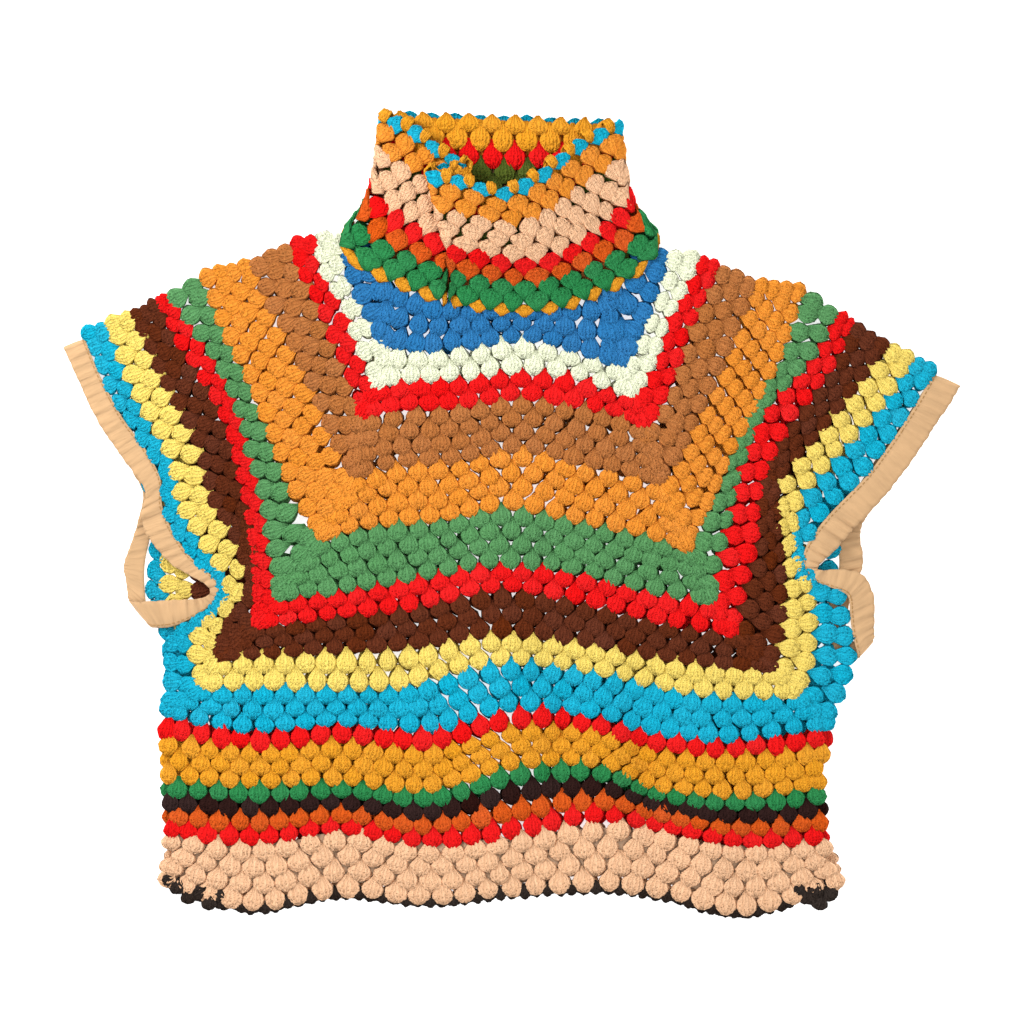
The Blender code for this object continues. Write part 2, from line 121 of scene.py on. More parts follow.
# Lines between the yoke's bands, from the neck outwards: down the left arm to its corner,
# across the bottom, and from the right corner up the right arm
YOKE = {
    "neck": (
        [(-131, 241), (-130, 236), (-127, 230), (-123, 225), (-119, 219), (-114, 212)],
        [(-83, 193), (-42, 187), (0, 185), (39, 186), (75, 189)],
        [(98, 207), (102, 211), (105, 216), (109, 222), (112, 228), (113, 232)],
    ),
    "blue": (
        [(-147, 243), (-152, 223), (-145, 202), (-135, 180), (-124, 162), (-114, 148)],
        [(-83, 142), (-38, 146), (7, 153), (43, 146), (79, 135)],
        [(98, 130), (108, 144), (118, 164), (127, 183), (135, 205), (140, 227)],
    ),
    "mint": (
        [(-175, 245), (-175, 223), (-163, 201), (-149, 176), (-139, 144), (-122, 111)],
        [(-92, 116), (-47, 118), (7, 124), (57, 120), (88, 108)],
        [(111, 103), (124, 122), (134, 148), (142, 173), (157, 200), (167, 227)],
    ),
    "upper red": (
        [(-198, 240), (-193, 218), (-179, 192), (-165, 155), (-149, 122), (-137, 84)],
        [(-101, 90), (-47, 93), (7, 101), (52, 95), (93, 86)],
        [(120, 75), (137, 98), (149, 128), (157, 155), (169, 180), (185, 218)],
    ),
    "brown": (
        [(-234, 220), (-220, 184), (-202, 151), (-183, 112), (-163, 63), (-143, 29)],
        [(-101, 40), (-51, 43), (7, 54), (57, 42), (102, 33)],
        [(133, 22), (151, 45), (169, 85), (187, 121), (204, 164), (218, 202)],
    ),
    "orange": (
        [(-280, 210), (-264, 169), (-241, 122), (-222, 75), (-200, 16), (-173, -27)],
        [(-119, -14), (-65, -9), (-2, 2), (61, -11), (115, -22)],
        [(158, -36), (183, 14), (203, 60), (224, 97), (246, 148), (262, 198)],
    ),
    "green": (
        [(-310, 189), (-284, 158), (-256, 110), (-242, 63), (-225, 0), (-213, -81)],
        [(-155, -74), (-83, -61), (-11, -50), (61, -57), (124, -74)],
        [(180, -83), (194, -18), (207, 40), (230, 94), (266, 130), (293, 176)],
    ),
    "lower red": (
        [(-318, 186), (-297, 144), (-265, 93), (-247, 36), (-236, -32), (-231, -105)],
        [(-164, -97), (-83, -87), (-11, -72), (61, -83), (138, -102)],
        [(201, -112), (220, -32), (225, 22), (250, 76), (284, 122), (306, 166)],
    ),
    "dark brown": (
        [(-340, 175), (-317, 120), (-285, 58), (-272, 9), (-251, -27), (-238, -66), (-252, -94),
         (-265, -116), (-266, -134)],
        [(-173, -128), (-92, -124), (-11, -113), (70, -122), (151, -137)],
        [(236, -144), (245, -99), (245, -58), (241, -5), (241, 26), (270, 60), (310, 110), (337, 146)],
    ),
    "yellow": (
        [(-364, 167), (-344, 110), (-313, 50), (-305, 14), (-285, -27), (-262, -60), (-259, -80),
         (-285, -106), (-290, -130), (-281, -161)],
        [(-191, -160), (-101, -160), (-11, -138), (79, -147), (169, -167)],
        [(258, -167), (271, -140), (273, -100), (268, -66), (257, -40), (255, -12), (266, 18), (298, 54),
         (331, 90), (360, 135)],
    ),
    "turquoise": (
        [(-385, 158), (-364, 108), (-330, 54), (-314, 27), (-315, 5), (-305, -19), (-290, -42),
         (-268, -64), (-268, -82), (-292, -101), (-309, -118), (-311, -150), (-314, -182)],
        [(-265, -196), (-227, -199), (-155, -193), (-74, -199), (7, -179), (79, -187), (133, -202),
         (205, -207)],
        [(287, -194), (302, -158), (308, -133), (303, -96), (298, -77), (274, -66), (262, -50), (272, -20),
         (300, 12), (320, 32), (350, 76), (380, 125)],
    ),
}

# The same lines where the back runs straight past the armhole notches
BACK_ARMS = {
    "dark brown": (
        [(-340, 175), (-317, 120), (-292, 58), (-284, -9), (-289, -55), (-285, -85), (-270, -134)],
        [(236, -144), (247, -72), (247, 0), (277, 60), (310, 110), (337, 146)],
    ),
    "yellow": (
        [(-364, 167), (-344, 110), (-320, 50), (-312, -14), (-316, -60), (-308, -95), (-291, -125),
         (-281, -161)],
        [(258, -167), (270, -81), (266, -9), (295, 42), (331, 88), (360, 135)],
    ),
    "turquoise": (
        [(-385, 158), (-362, 104), (-336, 40), (-324, -27), (-328, -70), (-316, -108), (-311, -140),
         (-313, -182)],
        [(287, -194), (291, -140), (284, -110), (292, -40), (309, 18), (345, 76), (380, 125)],
    ),
}

# Bands of the yoke: the yarn and how many rounds lie across the bottom and along the arms
#   band  yarn  rounds  arm_rounds
YOKE_BANDS = [
    ("blue", "blue", 3, 2),
    ("mint", "mint", 2, 2),
    ("upper red", "red", 2, 2),
    ("brown", "brown", 4, 3),
    ("orange", "orange", 4, 4),
    ("green", "green", 4, 2),
    ("lower red", "red", 2, 2),
    ("dark brown", "dark_brown", 3, 3),
    ("yellow", "yellow", 2, 2),
    ("turquoise", "turquoise", 3, 2),
]

# Lines between the bands below the armholes, from the left side to the right one
SKIRT = {
    "turquoise": [(-314, -184), (-227, -197), (-155, -191), (-74, -199), (7, -178), (79, -187),
                  (133, -202), (205, -207), (288, -196)],
    "red": [(-313, -204), (-227, -214), (-155, -208), (-74, -214), (7, -194), (79, -200),
            (133, -216), (205, -220), (283, -212)],
    "mustard": [(-310, -244), (-227, -248), (-155, -246), (-74, -252), (7, -230), (79, -230),
                (133, -252), (205, -258), (277, -250)],
    "narrow": [(-307, -293), (-227, -300), (-155, -290), (-74, -302), (7, -293), (79, -280),
               (133, -288), (205, -302), (279, -299)],
    "peach": [(-312, -337), (-236, -359), (-155, -346), (-74, -353), (3, -345), (79, -341),
              (138, -348), (210, -363), (293, -338)],
}

# Bands of the skirt: the yarns of its rounds in turn
#   band  yarns  cluster_width
SKIRT_BANDS = [
    ("red", ["red"], CLUSTER_WIDE),
    ("mustard", ["mustard"] * 3, CLUSTER_WIDE),
    ("narrow", ["bright_green", "black_brown", "rust", "red"], CLUSTER_WIDE),
    ("peach", ["peach"] * 4, PEACH_WIDE),
]

# Creases of the front, finer than its solid's folds: a ridge, or a trough where its depth is negative
#   from_x  from_y  to_x  to_y  depth  width
CREASES = [
    (41, -150, 44, -275, -3.2, 8),
    (97, -150, 138, -312, -3.6, 8),
    (112, -150, 154, -318, 2.6, 9),
    (-66, -200, -62, -315, -2.8, 8),
    (-142, 104, -139, -52, 2.4, 6),
    (-24, 0, -27, -95, 2.2, 6),
    (62, 122, 71, -66, -2.2, 8),
    (28, 40, 30, -120, -1.8, 8),
    (-205, -205, -214, -300, -1.8, 9),
    (196, -215, 203, -330, 1.8, 9),
    (-268, 96, -246, 20, -2.0, 8),
    (282, 92, 238, 22, -2.0, 8),
    (-110, -40, -116, -110, -1.6, 7),
]
CREASE_SWAY, CREASE_TURNS = 4.0, 5.0    # how far a crease sways aside, and how often along it
CREASE_FADE = 0.25                      # share of its length over which each end runs out

# The dark last round: clusters between the scallops, and a flatter row of them behind
#   inner_rise  outer_rise  phase  slim  (shortest, longest)  lift  flat
EDGING_ROUNDS = [
    (8.0, -2.4, 0.5, 0.5, (13.0, 14.0), -0.3, 0.8),
    (9.5, -0.9, 0.0, 0.85, (11.0, 12.0), -1.6, 0.6),
]

# Loose ends of dark yarn where the last round was fastened off at the corners of the hem
#   x  y  turn  half_width  length
FASTENED_ENDS = [
    (-301, -338, 200, 7.0, 15),
    (-292, -348, 158, 7.5, 15),
    (-281, -344, 240, 7.0, 14),
    (-272, -353, 182, 7.0, 14),
    (-309, -333, 255, 5.5, 12),
    (-264, -347, 115, 5.5, 11),
    (268, -347, 168, 7.5, 16),
    (277, -353, 200, 8.0, 16),
    (286, -345, 142, 7.5, 15),
    (274, -343, 190, 7.5, 15),
    (260, -341, 222, 5.5, 11),
]
FASTENED_LIFT = 0.8

# Cuff tapes: the sewn edge, the free edge and the layer each stretch lies in
#   sewn_x  sewn_y  free_x  free_y  layer
LEFT_CUFF = [
    (-385, 157, -405, 150, "fold"),
    (-379, 142, -398, 133, "front"),
    (-371, 122, -389, 114, "front"),
    (-361, 103, -380, 94, "front"),
    (-351, 84, -370, 74, "front"),
    (-328, 54, -347, 42, "front"),
    (-314, 27, -327, 16, "front"),
    (-316, 5, -336, -4, "front"),
    (-305, -19, -328, -25, "front"),
    (-291, -41, -308, -49, "front"),
    (-276, -54, -288, -60, "front"),
    (-262, -65, -270, -69, "front"),
    (-260, -76, -270, -76, "front"),
    (-271, -87, -275, -79, "front"),
    (-290, -99, -292, -81, "front"),
    (-307, -107, -310, -81, "front"),
    (-326, -107, -346, -84, "fold"),
    (-330, -78, -347, -64, "back"),
    (-331, -50, -351, -50, "back"),
    (-324, -20, -341, -26, "back"),
    (-318, 20, -330, 15, "back"),
    (-342, 70, -359, 63, "back"),
    (-358, 92, -376, 85, "back"),
    (-368, 114, -386, 107, "back"),
    (-379, 142, -397, 134, "back"),
]

RIGHT_CUFF = [
    (380, 125, 405, 115, "fold"),
    (372, 112, 398, 101, "front"),
    (362, 94, 386, 84, "front"),
    (353, 80, 375, 67, "front"),
    (344, 66, 364, 50, "front"),
    (320, 32, 338, 15, "front"),
    (300, 12, 320, -4, "front"),
    (283, -5, 305, -19, "front"),
    (270, -22, 292, -36, "front"),
    (260, -38, 278, -47, "front"),
    (261, -53, 272, -53, "front"),
    (270, -65, 276, -56, "front"),
    (290, -71, 290, -52, "front"),
    (304, -77, 319, -56, "front"),
    (303, -92, 327, -80, "front"),
    (306, -115, 326, -106, "front"),
    (313, -136, 326, -120, "fold"),
    (292, -138, 305, -120, "back"),
    (281, -122, 300, -110, "back"),
    (280, -100, 300, -96, "back"),
    (285, -78, 306, -76, "back"),
    (295, -52, 318, -46, "back"),
    (292, -28, 312, -24, "back"),
    (300, 5, 316, -10, "back"),
    (328, 48, 345, 32, "back"),
    (342, 67, 359, 53, "back"),
    (355, 85, 374, 74, "back"),
    (371, 110, 393, 99, "back"),
]
CUFF_STEP = 1.5           # along a cuff, from one row of its mesh to the next
CUFF_ROWS = 9             # points across a cuff
CUFF_WALL = 1.6
CUFF_SOFT = 7.5           # how far a bend of the tape is rounded along it
CUFF_CLEAR = 0.1          # between the tape and the floor, and between a stitch and the tape
TAPE_PROUD = 0.9          # how far the tape stands over the crochet beside it
TAPE_START = 0.03         # share of the tape's width that is under the crochet
TAPE_SWELL = 0.5          # how far its middle rounds up
NOTCH_REACH = 45.0        # how far along the tape the deepest bend still gathers it
PUCKER = 9.0              # from one pucker of the gathered tape to the next
PUCKER_HIGH = 1.9
PUCKER_WIDE = 0.028       # share of its width that the free edge moves in and out
SEAM_DEEP = 0.45          # how far the stitches pull the tape in
STITCH = 4.4              # from one stitch to the next
STITCH_IN = 0.13          # how far in from the sewn edge they run, as a share of the width
STITCH_HALF = (1.4, 0.5, 0.42)          # half of one stitch: along, across and up
STITCH_ROUND = 0.34

# Waves that make up the puckers: how many for each pucker, and their share of its height
#   times  share
PUCKER_WAVES = [(1.0, 0.42), (0.63, 0.26), (1.71, 0.16), (0.31, 0.35)]

# Collar: the yarns of its rounds from the rim to the free edge, and from the rim to the neck
TURNED_YARNS = ["turquoise", "orange", "orange", "peach", "peach", "peach", "red", "rust",
                "bright_green", "bright_green", "mustard"]
STAND_YARNS = ["mustard", "mustard", "red", "olive", "olive", "brown", "dark_brown", "red", "brown",
               "olive"]
COLLAR_CLUSTERS = 26

# Yarns: colour, and how fuzzy the wool is
#   yarn  colour  fuzz
YARNS = {
    "blue": ("#287BB7", 0.5),
    "mint": ("#F6FADA", 0.5),
    "red": ("#F50A0C", 0.25),
    "brown": ("#BE763B", 0.5),
    "orange": ("#F29831", 0.3),
    "green": ("#5D9B5F", 0.7),
    "dark_brown": ("#662905", 0.6),
    "yellow": ("#FBDF70", 0.3),
    "turquoise": ("#08B6D6", 0.4),
    "mustard": ("#F1A524", 0.4),
    "bright_green": ("#2A8C4D", 0.5),
    "black_brown": ("#2B0C06", 0.6),
    "rust": ("#DE5C10", 0.4),
    "peach": ("#F8C69C", 0.3),
    "olive": ("#5A6A20", 0.6),
    "edging": ("#32261F", 0.6),
}


# Shapes

def clamp(value, low=0.0, high=1.0):
    return max(low, min(high, value))


def ease(value):
    value = clamp(value)
    return value * value * (3 - 2 * value)


def along(points, x):
    """Height of a line of points at x, for points in any order."""
    ordered = sorted(points)
    return float(np.interp(x, [p[0] for p in ordered], [p[1] for p in ordered]))


def curve(points, shares):
    """Points at shares of the way along a smooth curve through the given ones, as an array."""
    points = np.asarray(points, float)
    spans = len(points) - 1
    place = np.clip(shares, 0, 1) * spans
    i = np.minimum(place.astype(int), spans - 1)
    t = (place - i)[:, None]
    a, b, c, d = (points[np.clip(i + k, 0, spans)] for k in (-1, 0, 1, 2))
    return b + 0.5 * t * (c - a + t * (2 * a - 5 * b + 4 * c - d + t * (3 * (b - c) + d - a)))


def between(grid, row, column):
    """Values of a grid at places between its rows and columns."""
    r = np.minimum(row.astype(int), grid.shape[0] - 2)
    c = np.minimum(column.astype(int), grid.shape[1] - 2)
    u, v = column - c, row - r
    if grid.ndim > 2:
        u, v = u[..., None], v[..., None]
    low = grid[r, c] * (1 - u) + grid[r, c + 1] * u
    high = grid[r + 1, c] * (1 - u) + grid[r + 1, c + 1] * u
    return low * (1 - v) + high * v


def solid_tree(name):
    """A solid's faces, to be met by rays."""
    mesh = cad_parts[name].data
    return BVHTree.FromPolygons([v.co for v in mesh.vertices], [p.vertices for p in mesh.polygons])


def met_height(tree, x, y, side):
    """Height at which a ray from above (1) or from below (-1) meets a solid, or None."""
    spot = tree.ray_cast(Vector((x * MM, y * MM, side)), Vector((0, 0, -side)))[0]
    return None if spot is None else spot.z / MM


class Panel:
    """Height of a body panel's middle over an even grid, read from its CAD solid."""

    def __init__(self, node, from_above, offset):
        tree = solid_tree(node)
        low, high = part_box(node)
        self.x0, self.y0 = low[0] / MM - GRID, low[1] / MM - GRID
        columns = int((high[0] / MM - self.x0) / GRID) + 3
        rows = int((high[1] / MM - self.y0) / GRID) + 3
        side = 1 if from_above else -1
        heights = np.full((rows, columns), np.nan)
        for row in range(rows):
            for column in range(columns):
                met = met_height(tree, self.x0 + column * GRID, self.y0 + row * GRID, side)
                if met is not None:
                    heights[row, column] = met
        self.heights = self.fill(heights) + offset
        if from_above:
            self.heights += self.creases()

    def creases(self):
        """Rise of all the creases over the grid."""
        rows, columns = self.heights.shape
        x, y = np.meshgrid(self.x0 + GRID * np.arange(columns), self.y0 + GRID * np.arange(rows))
        total = np.zeros((rows, columns))
        for x0, y0, x1, y1, depth, width in CREASES:
            length = math.hypot(x1 - x0, y1 - y0)
            ux, uy = (x1 - x0) / length, (y1 - y0) / length
            run = ((x - x0) * ux + (y - y0) * uy) / length
            off = (x - x0) * uy - (y - y0) * ux + CREASE_SWAY * np.sin(run * CREASE_TURNS)
            ends = np.clip(run / CREASE_FADE, 0, 1) * np.clip((1 - run) / CREASE_FADE, 0, 1)
            total += depth * np.exp(-((off / width) ** 2)) * ends
        return total

    def fill(self, heights):
        """Carries the heights on past the panel's edge."""
        while np.isnan(heights).any():
            padded = np.pad(heights, 1, constant_values=np.nan)
            near = [
                padded[1 + dr:1 + dr + heights.shape[0], 1 + dc:1 + dc + heights.shape[1]]
                for dr in (-1, 0, 1) for dc in (-1, 0, 1)
            ]
            known = ~np.isnan(near)
            total = np.where(known, near, 0).sum(axis=0)
            count = known.sum(axis=0)
            found = np.isnan(heights) & (count > 0)
            heights[found] = total[found] / count[found]
        return heights

    def height(self, x, y):
        column = np.clip((np.asarray(x) - self.x0) / GRID, 0, self.heights.shape[1] - 1.001)
        row = np.clip((np.asarray(y) - self.y0) / GRID, 0, self.heights.shape[0] - 1.001)
        return between(self.heights, row, column)

    def place(self, a, b, lift):
        """Points of the panel at (a, b), raised by lift."""
        return np.stack([a, b, self.height(a, b) + lift], axis=-1)


def deselect():
    bpy.ops.object.select_all(action="DESELECT")


def pick(obj):
    """Makes an object the only one selected, and the active one."""
    deselect()
    obj.select_set(True)
    bpy.context.view_layer.objects.active = obj


def remove(obj):
    mesh = obj.data
    bpy.data.objects.remove(obj, do_unlink=True)
    bpy.data.meshes.remove(mesh)


def point_values(mesh, name, values):
    """Gives a mesh a value at each point, for its material to read."""
    layer = mesh.attributes.new(name, "FLOAT", "POINT")
    layer.data.foreach_set("value", values.reshape(-1).astype(np.float32))


def corner_map(mesh, name, values):
    """Gives a mesh a map from its corners to places on the yarn or the tape, for its material to read."""
    layer = mesh.uv_layers.new(name=name)
    layer.data.foreach_set("uv", values.reshape(-1).astype(np.float32))


def granny_cluster():
    """Three fanned posts closed by their braid, drawn out of one ring along Y from foot to top."""
    deselect()
    along0, wide0, crown0, under0, middle0 = CLUSTER_STATIONS[0]
    bpy.ops.mesh.primitive_circle_add(
        vertices=len(CLUSTER_RING), radius=1, fill_type="NGON", location=(0, along0, 0),
        rotation=(math.pi / 2, 0, 0)
    )
    tube = bpy.context.object
    bpy.ops.object.transform_apply(location=True, rotation=True, scale=True)
    bpy.ops.object.mode_set(mode="EDIT")
    bpy.ops.mesh.select_all(action="SELECT")
    bpy.ops.transform.resize(value=(wide0, 1, crown0), center_override=(0, along0, 0))
    for (y0, w0, c0, u0, m0), (y1, w1, c1, u1, m1) in zip(CLUSTER_STATIONS, CLUSTER_STATIONS[1:]):
        bpy.ops.mesh.extrude_region_move(TRANSFORM_OT_translate={"value": (0, y1 - y0, 0)})
        bpy.ops.transform.resize(value=(w1 / w0, 1, c1 / c0), center_override=(0, y1, 0))
    bpy.ops.mesh.select_all(action="SELECT")
    bpy.ops.mesh.normals_make_consistent(inside=False)
    bpy.ops.object.mode_set(mode="OBJECT")
    mesh = tube.data
    points = np.array([v.co[:] for v in mesh.vertices])
    y = points[:, 1]
    sizes = np.array(CLUSTER_STATIONS)
    wide, crown, under, middle = (np.interp(y, sizes[:, 0], sizes[:, k]) for k in (1, 2, 3, 4))
    turn = np.arctan2(points[:, 2] / crown, points[:, 0] / wide)
    step = np.round(turn / (2 * math.pi) * len(CLUSTER_RING)).astype(int) % len(CLUSTER_RING)
    ring = np.array(CLUSTER_RING)[step]
    furrow = FURROW_FLAT[0] + FURROW_FLAT[1] * np.clip((1.0 - y) / 0.5, 0, 1)
    height = np.where(ring[:, 1] > 0, np.abs(ring[:, 1]) ** furrow, ring[:, 1])
    points[:, 0] = ring[:, 0] * wide
    points[:, 2] = middle + np.where(height > 0, height * crown, height * under)
    points[:, 1] -= SIDE_LAG * np.abs(ring[:, 0]) ** 2 * np.clip(y - 0.3, 0, 1)
    points[:, 1] -= np.where(np.isin(step, FURROWS), FURROW_NOTCH, 0.0) * np.clip((y - 0.7) / 0.3, 0, 1)
    quads = []
    for face in mesh.polygons:
        corners = list(face.vertices)
        quads += [[corners[0], *corners[k:k + 3]] for k in range(1, len(corners) - 2, 2)]
    quads = np.array(quads)
    # The material reads the fractions of this map, so a cluster stays just inside one square of it
    share = 0.5 + 0.48 * ring[:, 0]
    uv = np.stack([share, np.clip(points[:, 1], 0.02, 0.98)], axis=-1)[quads]
    # Painted shade, handed to the material as the depth value: darker towards the foot, on the underside and
    # in the furrows
    shade = np.clip(FOOT_SHADE + 1.4 * y, UNDER_SHADE, 1) * np.where(ring[:, 1] > 0.04, 1, UNDER_SHADE)
    shade = shade * np.where(np.isin(step, FURROWS), FURROW_SHADE, 1)
    remove(tube)
    return points, quads, uv, shade


class Cells:
    """Places of a piece's clusters: foot, top and half width in the surface's own terms, yarn and size."""

    def __init__(self):
        self.rows = []

    def add(self, foot, top, side, yarn, lift=0.0, flat=1.0):
        self.rows.append((*foot, *top, *side, yarn, lift, flat))

    def __len__(self):
        return len(self.rows)


def finish_piece(name, verts, faces, materials):
    """A smooth piece of the scene from its points in metres."""
    mesh = bpy.data.meshes.new(name)
    mesh.from_pydata(verts, [], faces)
    for material in materials:
        mesh.materials.append(material)
    mesh.shade_smooth()
    obj = bpy.data.objects.new(name, mesh)
    bpy.context.scene.collection.objects.link(obj)
    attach(obj, "root")
    return obj


def crochet(name, cells, place):
    """One mesh of all the clusters in cells, laid on a surface by place(a, b, lift)."""
    points, quads, uv, shade = CLUSTER
    count = len(cells)
    numbers = np.array([row[:6] for row in cells.rows])
    foot, top, side = numbers[:, None, 0:2], numbers[:, None, 2:4], numbers[:, None, 4:6]
    lift, flat = (np.array([row[k] for row in cells.rows])[:, None] for k in (7, 8))
    wobble = rng.normal(0, 1, (count, 6))
    x = points[None, :, 0] * (1 + UNEVEN_WIDE * wobble[:, 0:1])
    y = points[None, :, 1] * (1 + UNEVEN_LONG * wobble[:, 1:2])
    x = x + UNEVEN_LEAN * wobble[:, 2:3] * (y - 0.3) + UNEVEN_PLACE * wobble[:, 3:4]
    spot = foot + (top - foot) * y[..., None] + side * x[..., None]
    raised = points[None, :, 2] * flat + lift + UNEVEN_LIFT * wobble[:, 4:5]
    laid = place(spot[..., 0], spot[..., 1], raised) + rng.normal(0, ROUGH, (*raised.shape, 3))
    laid[..., 2] = np.maximum(laid[..., 2], FLOOR_GAP)
    faces = (quads[None] + np.arange(count)[:, None, None] * len(points)).reshape(-1, 4)
    used = [yarn for yarn in YARNS if any(row[6] == yarn for row in cells.rows)]
    obj = finish_piece(name, laid.reshape(-1, 3) * MM, faces, [WOOLS[yarn] for yarn in used])
    mesh = obj.data
    index = np.array([used.index(row[6]) for row in cells.rows])
    mesh.polygons.foreach_set("material_index", np.repeat(index, len(quads)).astype(np.int32))
    corner_map(mesh, "yarn", uv[None] + rng.integers(0, 40, (count, 1, 1, 2)) * 2)
    # The depth value is painted shade, which the material mixes towards a darker colour
    point_values(mesh, "depth", np.tile(shade, count))
    point_values(mesh, "tone", np.repeat(np.clip(0.5 + UNEVEN_TONE * wobble[:, 5], 0, 1), len(points)))
    return obj


def spacing(total, anchor, width, phase, ends, corner):
    """Places along a round, a cluster's width apart from its anchor; the last few ease up to a corner."""
    first = math.ceil((-anchor) / width - phase)
    last = math.floor((total - anchor) / width - phase)
    spots = [anchor + (j + phase) * width for j in range(first - 1, last + 2)]
    for end in ends:
        if end == 0:
            wanted = corner * width
            inside = [spot for spot in spots if spot >= wanted - width / 2]
        else:
            wanted = total - corner * width
            inside = [spot for spot in spots if spot <= wanted + width / 2]
        if not inside:
            continue
        spots = inside
        shift = wanted - (spots[0] if end == 0 else spots[-1])
        for k in range(min(EASED, len(spots))):
            spots[k if end == 0 else -1 - k] += shift * (1 - k / EASED) ** 1.3
    return [spot for spot in spots if -PAST_END * width <= spot <= total + PAST_END * width]


def at_shares(line, shares, wanted):
    """Points of a line, given at shares of its way, at other shares."""
    return [np.interp(wanted, shares, line[:, k]) for k in (0, 1)]


def work_round(cells, inner, outer, yarn, width, phase, surface, anchor=None, ends=(0, 1), slim=1.0,
               long=YOKE_LONG, corners=(), corner=END_GAP, **size):
    """Clusters of one round between two lines, at right angles to it, over the cloth's rise and fall."""
    shares = np.linspace(0, 1, 241)
    low, high = curve(inner, shares), curve(outer, shares)
    belt = low * BELT[0] + high * BELT[1]
    rise = surface.height(belt[:, 0], belt[:, 1])
    steps = np.sqrt((np.diff(belt, axis=0) ** 2).sum(axis=1) + np.diff(rise) ** 2)
    run = np.concatenate([[0], np.cumsum(steps)])
    total = run[-1]
    if anchor is None:
        anchor = run[int(np.argmin(np.abs(belt[:, 0] - ROW_CENTRE)))]
    elif anchor < 0:
        anchor = total + anchor
    for spot in spacing(total, anchor, width, phase, ends, corner):
        half = width / 2
        if spot < 1.0 or spot > total - 1.0:
            spot = clamp(spot, 1.0, total - 1.0)
            half *= END_WIDE
        share = np.interp(spot, run, shares)
        top = np.array(at_shares(high, shares, share))
        reach = np.clip([spot - width / 2, spot + width / 2], 0, total)
        across = [np.ptp(plan) for plan in at_shares(high, shares, np.interp(reach, run, shares))]
        half *= clamp(math.hypot(*across) / (reach[1] - reach[0]), *REACH)
        ahead, behind = (at_shares(high, shares, np.clip(share + k, 0, 1)) for k in (0.01, -0.01))
        outward = np.array([ahead[1] - behind[1], behind[0] - ahead[0]])
        outward /= max(np.linalg.norm(outward), 1e-6)
        add_cluster(cells, low, top, outward, half * slim, yarn, long, size)
    for end in corners:
        outward = (high[end] - low[end]) / max(np.linalg.norm(high[end] - low[end]), 1e-6)
        long_here = (long[0], CORNER_LONG)
        add_cluster(cells, low[end:][:1], high[end], outward, width * 0.5 * slim, yarn, long_here, size)


def add_cluster(cells, low, top, outward, half, yarn, long, size):
    """One cluster with its top on the outer line, and more behind it where its round runs wide."""
    gaps = np.linalg.norm(low - top, axis=1)
    near = low[int(np.argmin(gaps))]
    tall = max(float(gaps.min()), 1.0)
    way = (top - near) / tall
    if tall < ROUND_SHUT or way @ outward < 0.5:
        way, tall = outward, min(tall, SQUARE_LONG)
    rounds = max(1, round(tall / ROUND_HIGH))
    for k in range(rounds):
        tip = top + way * (TIP - k * tall / rounds)
        tip = tip + np.array([way[1], -way[0]]) * half * (k % 2)
        foot = tip - way * clamp(tall / rounds * CLUSTER_LONG, *long)
        cells.add(foot, tip, (way[1] * half, -way[0] * half), yarn, **size)


def even_line(points):
    """The smooth curve through the points, at even steps along it."""
    shares = np.linspace(0, 1, 201)
    fine = curve(points, shares)
    run = np.concatenate([[0], np.cumsum(np.linalg.norm(np.diff(fine, axis=0), axis=1))])
    at = np.linspace(0, run[-1], 61)
    return np.stack([np.interp(at, run, fine[:, k]) for k in (0, 1)], axis=1)


def blend(one, two, share):
    """The line at a share of the way from one line to another."""
    one, two = even_line(one), even_line(two)
    return one + (two - one) * share


def yoke_lines(band, back):
    """A band's outer line down the left arm, across the bottom and up the right arm."""
    left, bottom, right = YOKE[band]
    if back and band in BACK_ARMS:
        left, right = BACK_ARMS[band]
    return left, [left[-1]] + bottom + [right[0]], right


def work_yoke(cells, bands, surface, back, **size):
    """Rounds of the yoke's named bands; the ones before them are counted, so that all keep their step."""
    names = ["neck"] + [band[0] for band in YOKE_BANDS]
    steps = [0, 0, 0]
    width = CLUSTER_WIDE * (BACK_SPREAD if back else 1)
    for band, yarn, rounds, arm_rounds in YOKE_BANDS:
        before = yoke_lines(names[names.index(band) - 1], back)
        after = yoke_lines(band, back)
        for part, (anchor, ends) in enumerate(((ARM_START, (1,)), (None, (0, 1)), (-ARM_START, (0,)))):
            count = rounds if part == 1 else arm_rounds
            for k in range(count):
                inner = blend(before[part], after[part], k / count)
                outer = blend(before[part], after[part], (k + 1) / count)
                phase = steps[part] % 2 / 2
                steps[part] += 1
                if band in bands:
                    tight = band == "blue" or (part != 1 and arm_rounds < rounds)
                    work_round(cells, inner, outer, yarn, width, phase, surface, anchor, ends,
                               corners=(0, -1) if part == 1 else (),
                               corner=TIGHT_CORNER if tight else CORNER, **size)


def work_skirt(cells, surface, back, **size):
    """Rounds below the armholes, from side to side."""
    names = list(SKIRT)
    step = 1
    lines = {**SKIRT, "turquoise": yoke_lines("turquoise", back)[1]}
    for band, yarns, width in SKIRT_BANDS:
        before, after = lines[names[names.index(band) - 1]], lines[band]
        for k, yarn in enumerate(yarns):
            inner = blend(before, after, k / len(yarns))
            outer = blend(before, after, (k + 1) / len(yarns))
            phase = step % 2 / 2
            spread = width * (BACK_SPREAD if back else 1)
            work_round(cells, inner, outer, yarn, spread, phase, surface, ends=(), long=SKIRT_LONG, **size)
            step += 1


def work_edging(cells, surface, back, **size):
    """The dark last round, seen between the scallops and under them."""
    line = np.array(SKIRT["peach"], float)
    for rise, drop, phase, slim, long, lift, flat in EDGING_ROUNDS:
        phase = 0.5 - phase if back else phase
        work_round(cells, line + [0, rise], line + [0, drop], "edging", PEACH_WIDE, phase, surface, slim=slim,
                   long=long, lift=lift, flat=flat, **size)


# Collar surface, worked out as in the part

